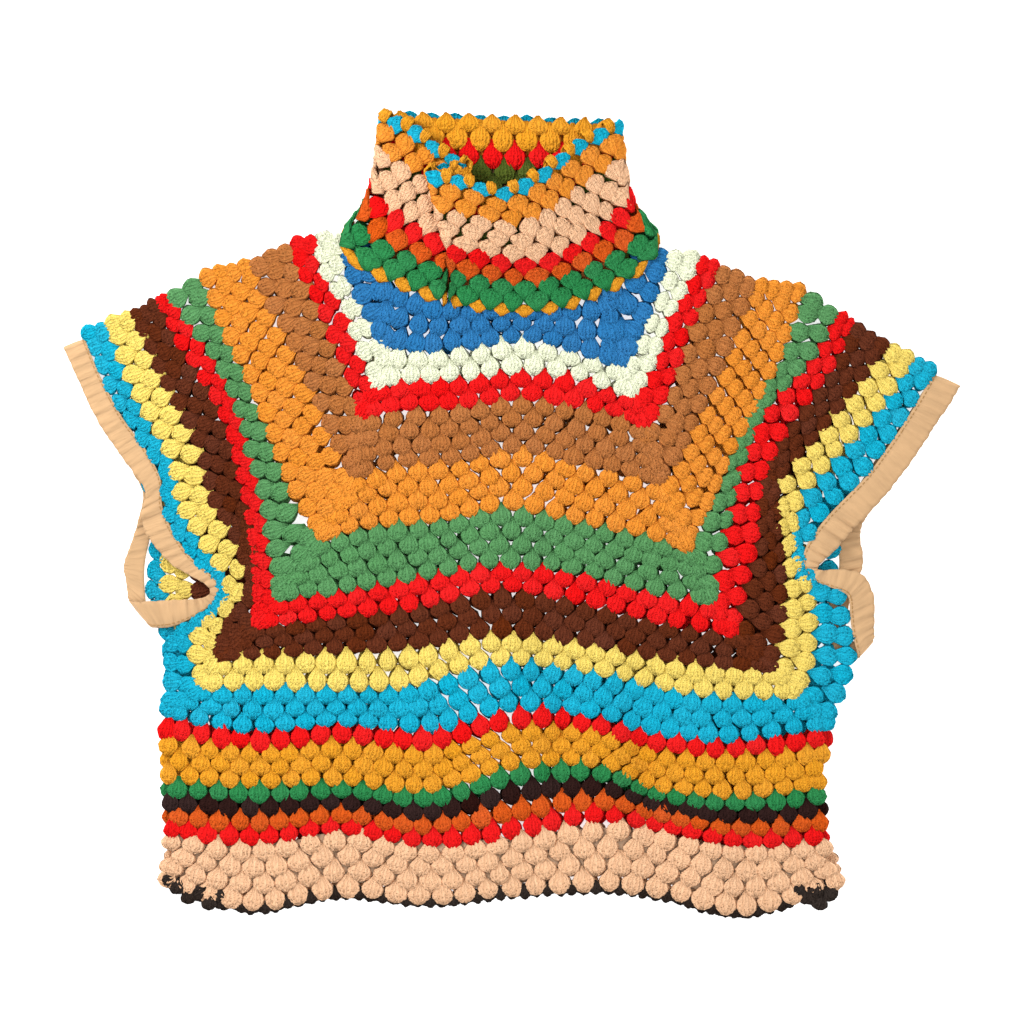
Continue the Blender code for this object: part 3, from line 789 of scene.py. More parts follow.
LEFT_SHOULDER = [(-385, 157), (-342, 175), (-310, 191), (-280, 210), (-235, 220), (-198, 240),
                 (-175, 246), (-131, 241)]
RIGHT_SHOULDER = [(113, 232), (166, 229), (186, 216), (219, 203), (262, 199), (307, 163),
                  (338, 148), (380, 125)]
FRONT_NECKLINE = [(-131, 241), (-114, 212), (-78, 191), (-2, 185), (70, 188), (98, 207), (113, 232)]
BACK_NECKLINE = [(-131, 241), (-114, 221), (-78, 206), (-2, 202), (70, 204), (98, 214), (113, 232)]
RIM_LEFT = [(-112, 356), (-101, 351), (-83, 346), (-65, 333), (-52, 322), (-40, 315)]
RIM_RIGHT = [(-72, 304), (-47, 299), (-11, 288), (16, 299), (43, 318), (70, 337), (96, 349)]
RIM_BACK = [(96, 350), (0, 354), (-112, 357)]
FREE_FRONT = [(-161, 249), (-152, 219), (-120, 205), (-74, 186), (-30, 177), (0, 173), (45, 176),
              (97, 197), (128, 217), (136, 235)]
FREE_BACK = [(135, 238), (126, 214), (96, 200), (0, 190), (-74, 196), (-140, 214), (-161, 249)]
COLLAR_STEP = 4.0         # from the stand to the turn-down
COLLAR_LIFT = 11.0        # how far the rim's front stands above its base
LIFT_LEFT, LIFT_RIGHT = 0.8, 0.9        # shares of it on each side of the pleat
BEND_OUT = 4.0            # how far the collar's side folds reach past their layers
PLEAT_RADIUS = 3.9        # bend of the rim's pleat
PLEAT_LENGTH = 27.0       # overlap of the pleat at the rim
PLEAT_LEAST = 2.5         # and where it is shut
PLEAT_BEND = 5.0          # the shortest way round one of its bends
PLEAT_APEX = 206          # height on the collar where the pleat runs out
PLEAT_SHUT = 0.42         # share of its length over which the pleat closes from its apex
PLEAT_RIM = 304
PLEAT_X, PLEAT_LEAN = -64, 21           # where it starts at its apex, and how far it leans to the rim
BEND_STEPS = (0.5, 1.5, 2.5, 3.5, 4.5)  # middles of the five steps of a bend
LEFT_PART, RIGHT_PART, BACK_PART = 5, 9, 9     # columns of the collar on each stretch of its round
PLEAT_POINTS = 13
TURNS = (45, 90, 135)
STAND_ROWS, RIM_ROWS, TURNED_ROWS = 6, 2, 10

# Heights where the rim, the neckline and the free edge turn round the collar's sides
RIGHT_TURN = (349.5, 234.0, 240.0)
LEFT_TURN = (356.5, 243.0, 251.0)
NECK_BACK = (113, 244)    # where the neckline's back starts, and how far it runs to the left
FREE_BACK_RUN = (134, 294)
STAND_LEVEL, TURNED_LEVEL = 215, 200    # heights at which the front's columns are set on the two edges

# Rounds of the collar, in rounds from the rim
CLUSTER_HALF = 0.48       # half width of a cluster, as a share of its place in the round
TURNED_LONG = 1.7
TURNED_TIP = 0.08         # how far a cluster of the turn-down stands over the line before it
FIRST_ROUND = (0.10, 1.45)              # top and foot of the rim's round
LAST_ROUND = (0.15, 1.0, -2.4)          # how the free edge stands past its line, and how low it lies
STAND_FOOT, STAND_TOP, NECK_FOOT = 0.62, 1.1, -0.05
COLLAR_LIE = 0.3
COLLAR_FULL = 1.15        # how much fuller the collar's clusters are
FREE_DROP = 8.0           # millimetres that the free edge hangs for each round past its end
SQUARE = 0.85             # how far a cluster turns square to a round that runs on the slant
MOST_LEAN = 0.022
SHUT_FROM, SHUT_WIDE = 6, 140.0         # from this round on, a cluster narrower than this is inside the pleat
KNOT_ABOVE = 9.0          # the rim's knots of mustard show on its front only, which is higher than this
KNOT = (-0.6, 0.9, 0.5, 1.7, 0.9)       # their ends, half width, lift and fullness


def pleat_curve(y):
    """Middle of the collar's front at height y: places (x, z) and directions across it."""
    open_share = clamp((y - PLEAT_APEX) / (PLEAT_RIM - PLEAT_APEX))
    angle = math.pi * clamp(open_share / PLEAT_SHUT) ** 1.2
    shut_share = clamp((open_share - PLEAT_SHUT) / (1 - PLEAT_SHUT))
    overlap = PLEAT_LEAST + (PLEAT_LENGTH - PLEAT_LEAST) * shut_share
    bend = max(PLEAT_RADIUS * angle, PLEAT_BEND)
    count = len(BEND_STEPS)
    turns = [(angle * k / count, bend / count) for k in BEND_STEPS]
    turns += [(angle, overlap / 2)] * 2
    turns += [(angle * k / count, bend / count) for k in BEND_STEPS[::-1]]
    x, z = 0.0, 0.0
    path = [(x, z, 0.0)]
    for k, (direction, length) in enumerate(turns):
        x += length * math.cos(direction)
        z += length * math.sin(direction)
        heading = direction if k + 1 == len(turns) else (direction + turns[k + 1][0]) / 2
        path.append((x, z, 0.0 if k + 1 == len(turns) else heading))
    return PLEAT_X + PLEAT_LEAN * open_share, path


def collar_sides(layer, y):
    """Left and right sides of the stand or the turn-down at height y."""
    if layer == "stand":
        close = 1 - clamp((y - 236) / 120)
        return -110 - 21 * close**2.2, 88 + 25 * close**1.8
    drop = clamp((358 - y) / 110)
    return -114 - 12 * drop - 30 * drop**5, 92 + 14 * drop + 25 * drop**6


def collar_front(layer, y):
    """Points (x, z) across the front of the stand or the turn-down at height y."""
    side = 1 if layer == "turned" else -1
    left, right = collar_sides(layer, y)
    lift = COLLAR_LIFT * ease((y - 190) / 120)

    def base(x):
        shoulder = along(LEFT_SHOULDER + RIGHT_SHOULDER, x)
        return float(FRONT.height(x, min(y, shoulder - 2))) + COLLAR_STEP / 2

    start, path = pleat_curve(y)
    out = []
    for k in range(LEFT_PART):
        share = k / LEFT_PART
        x = left + (start - left) * share
        rise = lift * LIFT_LEFT * math.sin(share * math.pi / 2)
        out.append((x, base(x) + rise + side * COLLAR_STEP / 2))
    z0 = base(start) + lift * LIFT_LEFT
    for x, z, heading in path:
        off = side * COLLAR_STEP / 2
        out.append((start + x - off * math.sin(heading), z0 + z + off * math.cos(heading)))
    x0, z1 = start + path[-1][0], z0 + path[-1][1]
    for k in range(1, RIGHT_PART + 1):
        share = k / RIGHT_PART
        x = x0 + (right - x0) * share
        fall = (z1 - base(x)) * (1 - ease(share))
        fall += lift * LIFT_RIGHT * math.sin(math.pi * share) * (1 - share)
        out.append((x, base(x) + fall + side * COLLAR_STEP / 2))
    return out


def collar_place(layer, column, y):
    """Point of a collar layer at one column and height."""
    front = collar_front(layer, y)
    left, right = collar_sides(layer, y)
    z_back = WOOL / 2 if layer == "turned" else WOOL / 2 + LAYER
    if column < len(front):
        return front[column][0], y, front[column][1]
    column -= len(front)
    if column < len(TURNS):
        x, z_front = front[-1]
        radius = (z_front - z_back) / 2
        angle = math.radians(TURNS[column])
        return x + min(radius, BEND_OUT) * math.sin(angle), y, z_back + radius * (1 + math.cos(angle))
    column -= len(TURNS)
    if column < BACK_PART:
        share = column / (BACK_PART - 1)
        return right + (left - right) * share, y, z_back
    column -= BACK_PART
    x, z_front = front[0]
    radius = (z_front - z_back) / 2
    angle = math.radians(180 - TURNS[column])
    return x - min(radius, BEND_OUT) * math.sin(angle), y, z_back + radius * (1 + math.cos(angle))


def height_at(points, share):
    """Height at a share of the way along a smooth curve through the points."""
    return curve(points, np.array([share]))[0][1]


def collar_heights(column):
    """Rim, neckline and free edge at one column of the collar."""
    left_count = LEFT_PART + PLEAT_POINTS + RIGHT_PART
    if column < LEFT_PART:
        rim = height_at(RIM_LEFT, column / LEFT_PART)
    elif column < LEFT_PART + PLEAT_POINTS:
        share = (column - LEFT_PART) / (PLEAT_POINTS - 1)
        rim = RIM_LEFT[-1][1] + (RIM_RIGHT[0][1] - RIM_LEFT[-1][1]) * share
    elif column < left_count:
        rim = height_at(RIM_RIGHT, (column - LEFT_PART - PLEAT_POINTS + 1) / RIGHT_PART)
    elif column < left_count + len(TURNS):
        return RIGHT_TURN
    elif column < left_count + len(TURNS) + BACK_PART:
        share = (column - left_count - len(TURNS)) / (BACK_PART - 1)
        neck_x, free_x = (start - run * share for start, run in (NECK_BACK, FREE_BACK_RUN))
        return height_at(RIM_BACK, share), along(BACK_NECKLINE, neck_x) + 1, along(FREE_BACK, free_x)
    else:
        return LEFT_TURN
    stand_x = collar_front("stand", STAND_LEVEL)[column][0]
    turned_x = collar_front("turned", TURNED_LEVEL)[column][0]
    return rim, along(FRONT_NECKLINE, stand_x) + 1, along(FREE_FRONT, turned_x)


class Collar:
    """Surface of the collar's tube: a runs round it from 0 to 1, b from the free edge to the neck seam."""

    def __init__(self):
        columns = LEFT_PART + PLEAT_POINTS + RIGHT_PART + BACK_PART + 2 * len(TURNS)
        rows = STAND_ROWS + RIM_ROWS + TURNED_ROWS
        points = np.zeros((rows + 1, columns, 3))
        for column in range(columns):
            rim, neck, free = collar_heights(column)
            for row in range(rows + 1):
                if row <= STAND_ROWS:
                    spot = collar_place("stand", column, neck + (rim - neck) * row / STAND_ROWS)
                elif row >= STAND_ROWS + RIM_ROWS:
                    share = (row - STAND_ROWS - RIM_ROWS) / TURNED_ROWS
                    spot = collar_place("turned", column, rim + (free - rim) * share)
                else:
                    inner = np.array(collar_place("stand", column, rim))
                    outer = np.array(collar_place("turned", column, rim))
                    spot = (inner + outer) / 2
                    spot[1] = rim + np.linalg.norm(outer - inner) / 2
                points[row, column] = spot
        self.points = np.concatenate([points, points[:, :1]], axis=1)
        du = np.roll(points, -1, axis=1) - np.roll(points, 1, axis=1)
        dv = np.gradient(points, axis=0)
        normals = np.cross(dv, du)
        normals /= np.maximum(np.linalg.norm(normals, axis=2, keepdims=True), 1e-9)
        self.normals = np.concatenate([normals, normals[:, :1]], axis=1)
        rim_row = self.points[STAND_ROWS + 1]
        steps = np.linalg.norm(np.diff(rim_row, axis=0), axis=1)
        self.run = np.concatenate([[0], np.cumsum(steps)]) / steps.sum()
        stand, turned = len(STAND_YARNS), len(TURNED_YARNS)
        self.marks = [-stand * (1 - k / STAND_ROWS) for k in range(STAND_ROWS)] + [-0.2, 0.0]
        self.marks += [0.2 + (turned - 0.2) * k / TURNED_ROWS for k in range(TURNED_ROWS + 1)]

    def place(self, a, b, lift):
        """Points of the collar at (a, b), raised by lift."""
        shape = np.shape(a)
        column = np.interp(np.mod(a, 1).ravel(), self.run, np.arange(len(self.run)))
        row = np.interp(b.ravel(), self.marks, np.arange(len(self.marks)))
        spot, normal = (between(grid, row, column) for grid in (self.points, self.normals))
        normal /= np.maximum(np.linalg.norm(normal, axis=1, keepdims=True), 1e-9)
        past = (b.ravel() - self.marks[-1]).clip(0)[:, None]
        spot = spot + normal * np.broadcast_to(lift, shape).reshape(-1, 1)
        spot[:, 1:2] -= past * FREE_DROP
        return spot.reshape(*shape, 3)


def square_to_round(a, b):
    """How far round the collar one step down it moves, for a cluster square to its round, and its width."""
    da, db = 0.006, 0.4
    spots = COLLAR.place(np.array([a + da, a - da, a, a]), np.array([b, b, b + db, b - db]), 0.0)
    round_way, down = (spots[0] - spots[1]) / (2 * da), (spots[2] - spots[3]) / (2 * db)
    wide = round_way @ round_way
    lean = clamp(-SQUARE * (down @ round_way) / max(wide, 1.0), -MOST_LEAN, MOST_LEAN)
    return lean, math.sqrt(wide)


def work_turned(cells):
    """Rounds of the turn-down, each cluster's top towards the rim."""
    half = CLUSTER_HALF / COLLAR_CLUSTERS
    for k, yarn in enumerate(TURNED_YARNS):
        top_b, foot_b, lift = k - TURNED_TIP, k - TURNED_TIP + TURNED_LONG, COLLAR_LIE
        if k == 0:
            top_b, foot_b = FIRST_ROUND
        if k == len(TURNED_YARNS) - 1:
            top_b, foot_b, lift = k - LAST_ROUND[0], k + LAST_ROUND[1], LAST_ROUND[2]
        middle = (top_b + foot_b) / 2
        for j in range(COLLAR_CLUSTERS):
            a = (j + (0.0 if k % 2 else 0.5)) / COLLAR_CLUSTERS
            lean, wide = square_to_round(a, middle)
            if k < SHUT_FROM or wide >= SHUT_WIDE:
                foot, top = (a + lean * (foot_b - middle), foot_b), (a + lean * (top_b - middle), top_b)
                cells.add(foot, top, (half, 0.0), yarn, lift=lift, flat=COLLAR_FULL)
    foot_b, top_b, narrow, lift, flat = KNOT
    for j in range(COLLAR_CLUSTERS):
        a = j / COLLAR_CLUSTERS
        lean = square_to_round(a, 0.6)[0]
        if COLLAR.place(np.array([a]), np.array([0.0]), 0.0)[0, 2] > KNOT_ABOVE:
            cells.add((a - 0.6 * lean, foot_b), (a + 0.5 * lean, top_b), (-half * narrow, 0.0), "mustard",
                      lift=lift, flat=flat)


def work_stand(cells):
    """Rounds of the stand, each cluster's top towards the neck."""
    half = CLUSTER_HALF / COLLAR_CLUSTERS
    for k, yarn in enumerate(STAND_YARNS):
        foot_b, top_b = -k + STAND_FOOT if k else NECK_FOOT, -(k + STAND_TOP)
        for j in range(COLLAR_CLUSTERS):
            a = (j + (0.5 if k % 2 else 0.0)) / COLLAR_CLUSTERS
            cells.add((a, foot_b), (a, top_b), (half, 0.0), yarn, lift=COLLAR_LIE, flat=COLLAR_FULL)


# Materials

def linear(colour):
    """sRGB hex colour as linear values."""
    out = []
    for k in (1, 3, 5):
        value = int(colour[k:k + 2], 16) / 255
        out.append(value / 12.92 if value <= 0.04045 else ((value + 0.055) / 1.055) ** 2.4)
    return (*out, 1.0)


def node(tree, kind, settings=None, links=None):
    """Adds a node with its settings and the sockets that feed it."""
    new = tree.nodes.new(kind)
    for key, value in (settings or {}).items():
        if isinstance(key, str) and hasattr(new, key):
            setattr(new, key, value)
        else:
            new.inputs[key].default_value = value
    for key, socket in (links or {}).items():
        tree.links.new(socket, new.inputs[key])
    return new


def new_material(name):
    """A new material with its nodes and its shader."""
    material = bpy.data.materials.new(name)
    material.use_nodes = True
    tree = material.node_tree
    return material, tree, tree.nodes["Principled BSDF"]


STRANDS = 6               # strands of the yarn that show across a cluster
TWISTS = 11               # turns of its plies along one
LOOPS = (5.2, 6.0, 1.0)   # a cluster's loops, across it and along it
RIB = math.radians(35)    # slant of the twill's ribs
RIB_SCALE = 260.0         # ribs 1.2 mm apart
DRAWN = math.radians(28)  # slant of the wrinkles where the tape is gathered


def plied_wool(yarn, colour, fuzz):
    """Hand-plied wool: matt, in fine strands that fan up each post, with painted shade in the grooves between
    the plies, at each cluster's foot, underside and furrows, and in the pits between the top loops.
    """
    material, tree, shader = new_material("plied_wool_" + yarn)
    place = node(tree, "ShaderNodeTexCoord")
    uv = node(tree, "ShaderNodeUVMap", {"uv_map": "yarn"})
    split = node(tree, "ShaderNodeSeparateXYZ", links={0: uv.outputs[0]})
    across = node(tree, "ShaderNodeMath", {"operation": "FRACT"}, {0: split.outputs[0]})
    along_post = node(tree, "ShaderNodeMath", {"operation": "FRACT"}, {0: split.outputs[1]})
    fibre = node(tree, "ShaderNodeTexNoise", {"Scale": 850.0, "Detail": 3.0, "Roughness": 0.7},
                 {"Vector": place.outputs["Object"]})
    wander = node(tree, "ShaderNodeTexNoise", {"Scale": 330.0, "Detail": 2.0},
                  {"Vector": place.outputs["Object"]})
    drift = node(tree, "ShaderNodeMath", {"operation": "MULTIPLY", 1: 7.5}, {0: wander.outputs[0]})
    fan = node(tree, "ShaderNodeMath", {"operation": "MULTIPLY_ADD", 1: STRANDS * 2 * math.pi},
               {0: across.outputs[0], 2: drift.outputs[0]})
    strand_wave = node(tree, "ShaderNodeMath", {"operation": "SINE"}, {0: fan.outputs[0]})
    loops_at = node(tree, "ShaderNodeMapping", {"Scale": LOOPS}, {"Vector": uv.outputs[0]})
    loops = node(tree, "ShaderNodeTexVoronoi", {"voronoi_dimensions": "2D", "Scale": 1.0, "Randomness": 0.75},
                 {"Vector": loops_at.outputs[0]})
    pit = node(tree, "ShaderNodeMapRange", {"From Min": 0.07, "From Max": 0.24, "To Min": 1.0, "To Max": 0.0},
               {"Value": loops.outputs["Distance"]})
    top = node(tree, "ShaderNodeMapRange", {"From Min": 0.46, "From Max": 0.62},
               {"Value": along_post.outputs[0]})
    pits = node(tree, "ShaderNodeMath", {"operation": "MULTIPLY"}, {0: pit.outputs[0], 1: top.outputs[0]})
    tone = node(tree, "ShaderNodeAttribute", {"attribute_name": "tone"})
    depth = node(tree, "ShaderNodeAttribute", {"attribute_name": "depth"})
    base = linear(colour)
    # dark and deep are painted shade colours: dark for the ply grooves and the depth value, deep for the pits
    # between the top loops; pale is only a little lighter, for tone that differs at random
    dark = tuple(0.50 * value**1.7 for value in base[:3]) + (1.0,)
    deep = tuple(0.30 * value**1.6 for value in base[:3]) + (1.0,)
    pale = tuple(value + (1 - value) * 0.02 for value in base[:3]) + (1.0,)
    slant = node(tree, "ShaderNodeMath", {"operation": "MULTIPLY_ADD", 1: -TWISTS * 2 * math.pi},
                 {0: along_post.outputs[0], 2: fan.outputs[0]})
    twist = node(tree, "ShaderNodeMath", {"operation": "SINE"}, {0: slant.outputs[0]})
    plies = node(tree, "ShaderNodeMath", {"operation": "MULTIPLY_ADD", 1: 0.4},
                 {0: twist.outputs[0], 2: strand_wave.outputs[0]})
    # Painted shade in the grooves between the plies
    furrow = node(tree, "ShaderNodeMath", {"operation": "MULTIPLY_ADD", 1: 0.11, 2: 0.88},
                  {0: plies.outputs[0]})
    # Painted shade: the cluster's depth value times the ply grooves; where it is low, the colour is mixed
    # towards dark
    level = node(tree, "ShaderNodeMath", {"operation": "MULTIPLY"},
                 {0: depth.outputs["Fac"], 1: furrow.outputs[0]})
    worn = node(tree, "ShaderNodeMath", {"operation": "MULTIPLY_ADD", 1: 0.5, 2: -0.1},
                {0: fibre.outputs[0]})
    lively = node(tree, "ShaderNodeMath", {"operation": "MULTIPLY_ADD", 1: 0.8},
                  {0: tone.outputs["Fac"], 2: worn.outputs[0]})
    shown = node(tree, "ShaderNodeMix", {"data_type": "RGBA", 6: base, 7: pale}, {0: lively.outputs[0]})
    full = node(tree, "ShaderNodeMix", {"data_type": "RGBA", 6: dark},
                {0: level.outputs[0], 7: shown.outputs[2]})
    # Painted shade in the pits between the top loops, mixed towards the deep colour
    pit_shade = node(tree, "ShaderNodeMath", {"operation": "MULTIPLY", 1: 0.7}, {0: pits.outputs[0]})
    seen = node(tree, "ShaderNodeMix", {"data_type": "RGBA", 7: deep},
                {0: pit_shade.outputs[0], 6: full.outputs[2]})
    tree.links.new(seen.outputs[2], shader.inputs["Base Color"])
    shader.inputs["Roughness"].default_value = 0.9
    shader.inputs["Specular IOR Level"].default_value = 0.03
    shader.inputs["Sheen Weight"].default_value = 0.06 * fuzz
    shader.inputs["Sheen Roughness"].default_value = 0.6
    shader.inputs["Sheen Tint"].default_value = pale
    ridges = node(tree, "ShaderNodeMath", {"operation": "MULTIPLY_ADD", 1: 0.45},
                  {0: plies.outputs[0], 2: fibre.outputs[0]})
    knobs = node(tree, "ShaderNodeMath", {"operation": "MULTIPLY"},
                 {0: loops.outputs["Distance"], 1: top.outputs[0]})
    raised = node(tree, "ShaderNodeMath", {"operation": "MULTIPLY_ADD", 1: 2.4},
                  {0: knobs.outputs[0], 2: ridges.outputs[0]})
    bump = node(tree, "ShaderNodeBump", {"Strength": 1.0, "Distance": 0.0010},
                {"Height": raised.outputs[0]})
    tree.links.new(bump.outputs[0], shader.inputs["Normal"])
    return material


def twill_tape(name, colour):
    """Cotton twill tape: ribs run across it on the slant, and wrinkles where the stitches gather it, with
    painted shade in the troughs of the wrinkles and the puckers and along the seam.
    """
    material, tree, shader = new_material(name)
    place = node(tree, "ShaderNodeTexCoord")
    turn = node(tree, "ShaderNodeMapping", {"Rotation": (0, 0, RIB)}, {"Vector": place.outputs["Object"]})
    ribs = node(tree, "ShaderNodeTexWave", {"Scale": RIB_SCALE, "Distortion": 2.0, "Detail": 1.5},
                {"Vector": turn.outputs[0]})
    cloud = node(tree, "ShaderNodeTexNoise", {"Scale": 60.0, "Detail": 3.0},
                 {"Vector": place.outputs["Object"]})
    base = linear(colour)
    # dark serves both the darker tone of the ribs and the cloud, and the painted shade of the wrinkles, the
    # puckers and the seam
    dark = tuple(value * 0.62 for value in base[:3]) + (1.0,)
    mix = node(tree, "ShaderNodeMath", {"operation": "MULTIPLY_ADD", 1: 0.12, 2: 0.5},
               {0: ribs.outputs[0]})
    both = node(tree, "ShaderNodeMath", {"operation": "MULTIPLY_ADD", 1: 0.6},
                {0: cloud.outputs[0], 2: mix.outputs[0]})
    colours = node(tree, "ShaderNodeMix", {"data_type": "RGBA", 6: dark, 7: base},
                   {0: both.outputs[0]})
    crease = node(tree, "ShaderNodeAttribute", {"attribute_name": "crease"})
    uv = node(tree, "ShaderNodeUVMap", {"uv_map": "tape"})
    slant = node(tree, "ShaderNodeMapping", {"Rotation": (0, 0, DRAWN), "Scale": (0.15, 0.03, 1.0)},
                 {"Vector": uv.outputs[0]})
    drawn = node(tree, "ShaderNodeTexNoise", {"Scale": 1.0, "Detail": 2.0, "Roughness": 0.45},
                 {"Vector": slant.outputs[0]})
    # Painted shade in the troughs of the wrinkles
    gather = node(tree, "ShaderNodeMapRange",
                  {"From Min": 0.36, "From Max": 0.52, "To Min": 0.55, "To Max": 0.0},
                  {"Value": drawn.outputs[0]})
    # Painted shade: that of the cuff's pucker troughs and seam, or that of the wrinkles, whichever is darker
    painted_trough_shade = node(tree, "ShaderNodeMath", {"operation": "MAXIMUM"},
                   {0: crease.outputs["Fac"], 1: gather.outputs[0]})
    shaded = node(tree, "ShaderNodeMath", {"operation": "MULTIPLY", 1: 0.55}, {0: painted_trough_shade.outputs[0]})
    creased = node(tree, "ShaderNodeMix", {"data_type": "RGBA", 7: dark},
                   {0: shaded.outputs[0], 6: colours.outputs[2]})
    tree.links.new(creased.outputs[2], shader.inputs["Base Color"])
    shader.inputs["Roughness"].default_value = 0.8
    shader.inputs["Specular IOR Level"].default_value = 0.25
    shader.inputs["Sheen Weight"].default_value = 0.1
    weave = node(tree, "ShaderNodeBump", {"Strength": 0.35, "Distance": 0.0002},
                 {"Height": ribs.outputs[0]})
    bump = node(tree, "ShaderNodeBump", {"Strength": 0.9, "Distance": 0.004},
                {"Height": drawn.outputs[0], "Normal": weave.outputs[0]})
    tree.links.new(bump.outputs[0], shader.inputs["Normal"])
    return material


# Cuffs and hem

def fold_rings(before, after, sewn, free, outward):
    """Three steps of a tape that rolls over from one layer to the other."""
    rings = []
    for turn in (30, 90, 150):
        angle = math.radians(turn)
        facing = 1 if before[0].z > after[0].z else -1
        normal = Vector((0, 0, math.cos(angle) * facing)) + outward * math.sin(angle)
        ends = []
        for point, start, end in ((sewn, before[0].z, after[0].z), (free, before[1].z, after[1].z)):
            spot = point + outward * abs(start - end) / 2 * (math.sin(angle) - 1)
            spot.z = (start + end) / 2 + (start - end) / 2 * math.cos(angle)
            ends.append(spot)
        rings.append((ends[0], ends[1], normal))
    return rings


def cuff_rings(table, name, hand):
    """Stretches of a cuff in turn: sewn edge, free edge and the way it faces, at the heights of its solid."""
    tree = solid_tree(name)

    def level(spot, layer):
        side = 1 if layer == "front" else -1
        met = met_height(tree, spot.x, spot.y, side)
        return None if met is None else met - side * TAPE / 2

    flat = []
    for sewn_x, sewn_y, free_x, free_y, layer in table:
        sewn, free = Vector((sewn_x, sewn_y, 0)), Vector((free_x, free_y, 0))
        if layer != "fold":
            near, far = (level(sewn.lerp(free, share), layer) for share in (0.15, 0.85))
            near = far if near is None else near
            far = near if far is None else far
            step = (far - near) / 0.7
            sewn.z, free.z = near - 0.15 * step, far + 0.15 * step
        flat.append((sewn, free, Vector((0, 0, 1 if layer == "front" else -1))))
    rings = []
    for k, row in enumerate(table):
        if row[4] != "fold":
            rings.append(flat[k])
            continue
        before, after = flat[k - 1], flat[(k + 1) % len(flat)]
        sewn, free = flat[k][:2]
        outward = (free - sewn).normalized().cross(Vector((0, 0, -1))) * hand
        if table[k - 1][4] == "back":
            outward = -outward
        rings += fold_rings(before, after, sewn, free, outward)
    return [np.array([value[:] for value in ring]) for ring in rings]


def even_ring(rings, step, blur):
    """The rings resampled at an even step along the tape and smoothed."""
    rings = np.array(rings + rings[:1])
    middle = (rings[:, 0] + rings[:, 1]) / 2
    run = np.concatenate([[0], np.cumsum(np.linalg.norm(np.diff(middle, axis=0), axis=1))])
    count = int(run[-1] / step)
    at = np.arange(count) / count * run[-1]
    even = np.stack([[np.interp(at, run, rings[:, i, k]) for k in range(3)] for i in range(3)])
    even = even.transpose(2, 0, 1)
    reach = int(3 * blur / step)
    weights = np.exp(-0.5 * (np.arange(-reach, reach + 1) * step / blur) ** 2)
    weights /= weights.sum()
    smooth = sum(w * np.roll(even, k - reach, axis=0) for k, w in enumerate(weights))
    return smooth, at


def cuff(name, table, hand, seed):
    """Gathered tape: a thin band with puckers across it, its free edge a little wavy."""
    rings, at = even_ring(cuff_rings(table, name, hand), CUFF_STEP, CUFF_SOFT)
    draw = np.random.default_rng(seed)
    count = len(at)
    total = count * CUFF_STEP
    turns = round(total / PUCKER)
    waves = np.zeros(count)
    for factor, size in PUCKER_WAVES:
        bend = 1.3 * np.sin(2 * math.pi * at / total * round(turns * 0.17) + draw.random() * 6)
        waves += size * np.sin(2 * math.pi * at / total * round(turns * factor) + bend + draw.random() * 6)
    notch = np.array([row[:2] for row in table if row[4] == "front"])
    notch = notch[np.argmin(np.abs(notch[:, 0]))]
    away = np.linalg.norm(rings[:, 0, :2] - notch, axis=1)
    strength = 0.45 + 0.25 * np.sin(2 * math.pi * at / total * 5 + draw.random() * 6)
    strength += 0.9 * np.exp(-((away / NOTCH_REACH) ** 2))
    share = np.linspace(TAPE_START, 1.0, CUFF_ROWS)[None, :, None]
    sewn, free, normal = rings[:, None, 0], rings[:, None, 1], rings[:, None, 2]
    normal = normal / np.maximum(np.linalg.norm(normal, axis=2, keepdims=True), 1e-6)
    across = free - sewn
    spot = sewn + across * share * (1 + PUCKER_WIDE * waves[:, None, None] * share)
    swell = TAPE_SWELL * np.sin(math.pi * share)
    ripple = (waves * strength)[:, None, None] * (0.3 + 0.7 * share) * PUCKER_HIGH
    seam = -SEAM_DEEP * np.exp(-(((share - STITCH_IN) / 0.06) ** 2))
    spot = spot + normal * (swell + ripple + seam + TAPE_PROUD)
    spot[..., 2] = np.maximum(spot[..., 2], CUFF_WALL / 2 + CUFF_CLEAR)
    faces, corners = [], []
    for i in range(count):
        for j in range(CUFF_ROWS - 1):
            n = (i + 1) % count
            here, there = i * CUFF_ROWS + j, n * CUFF_ROWS + j
            faces.append([here, here + 1, there + 1, there])
            corners.append([(i, j), (i, j + 1), (i + 1, j + 1), (i + 1, j)])
    obj = finish_piece(f"{name}_tape", spot.reshape(-1, 3) * MM, faces, [TAPES["tan"]])
    wide = np.linalg.norm(across, axis=2).mean()
    uv = np.array([[(i * CUFF_STEP, share[0, j, 0] * wide) for i, j in four] for four in corners])
    corner_map(obj.data, "tape", uv)
    face_forward(obj, normal[:, 0], count)
    # Painted shade for the tape's material: darker in the troughs of the puckers and along the row of
    # stitches, where the seam pulls the tape in
    painted_trough_shade = np.clip(-(waves * strength)[:, None] * 1.6, 0, 1)
    painted_trough_shade = painted_trough_shade * np.linspace(0.6, 1.0, CUFF_ROWS)[None, :]
    painted_trough_shade = np.maximum(painted_trough_shade, np.exp(-(((share[0, :, 0] - STITCH_IN) / 0.05) ** 2))[None, :] * 0.5)
    point_values(obj.data, "crease", painted_trough_shade)
    wall = obj.modifiers.new("wall", "SOLIDIFY")
    wall.thickness = CUFF_WALL * MM
    wall.offset = 0
    pick(obj)
    bpy.ops.object.modifier_apply(modifier="wall")
    stitches = stitch_row(f"{name}_stitches", spot, normal[:, 0], sewn[:, 0], at)
    return obj, stitches, total, wide


def face_forward(obj, normals, count):
    """Turns the faces of a band to the side its normals give."""
    mesh = obj.data
    agree = 0.0
    for k in range(0, len(mesh.polygons), 37):
        face = mesh.polygons[k]
        agree += face.normal.dot(Vector(normals[min(face.vertices[0] // CUFF_ROWS, count - 1)]))
    if agree < 0:
        mesh.flip_normals()


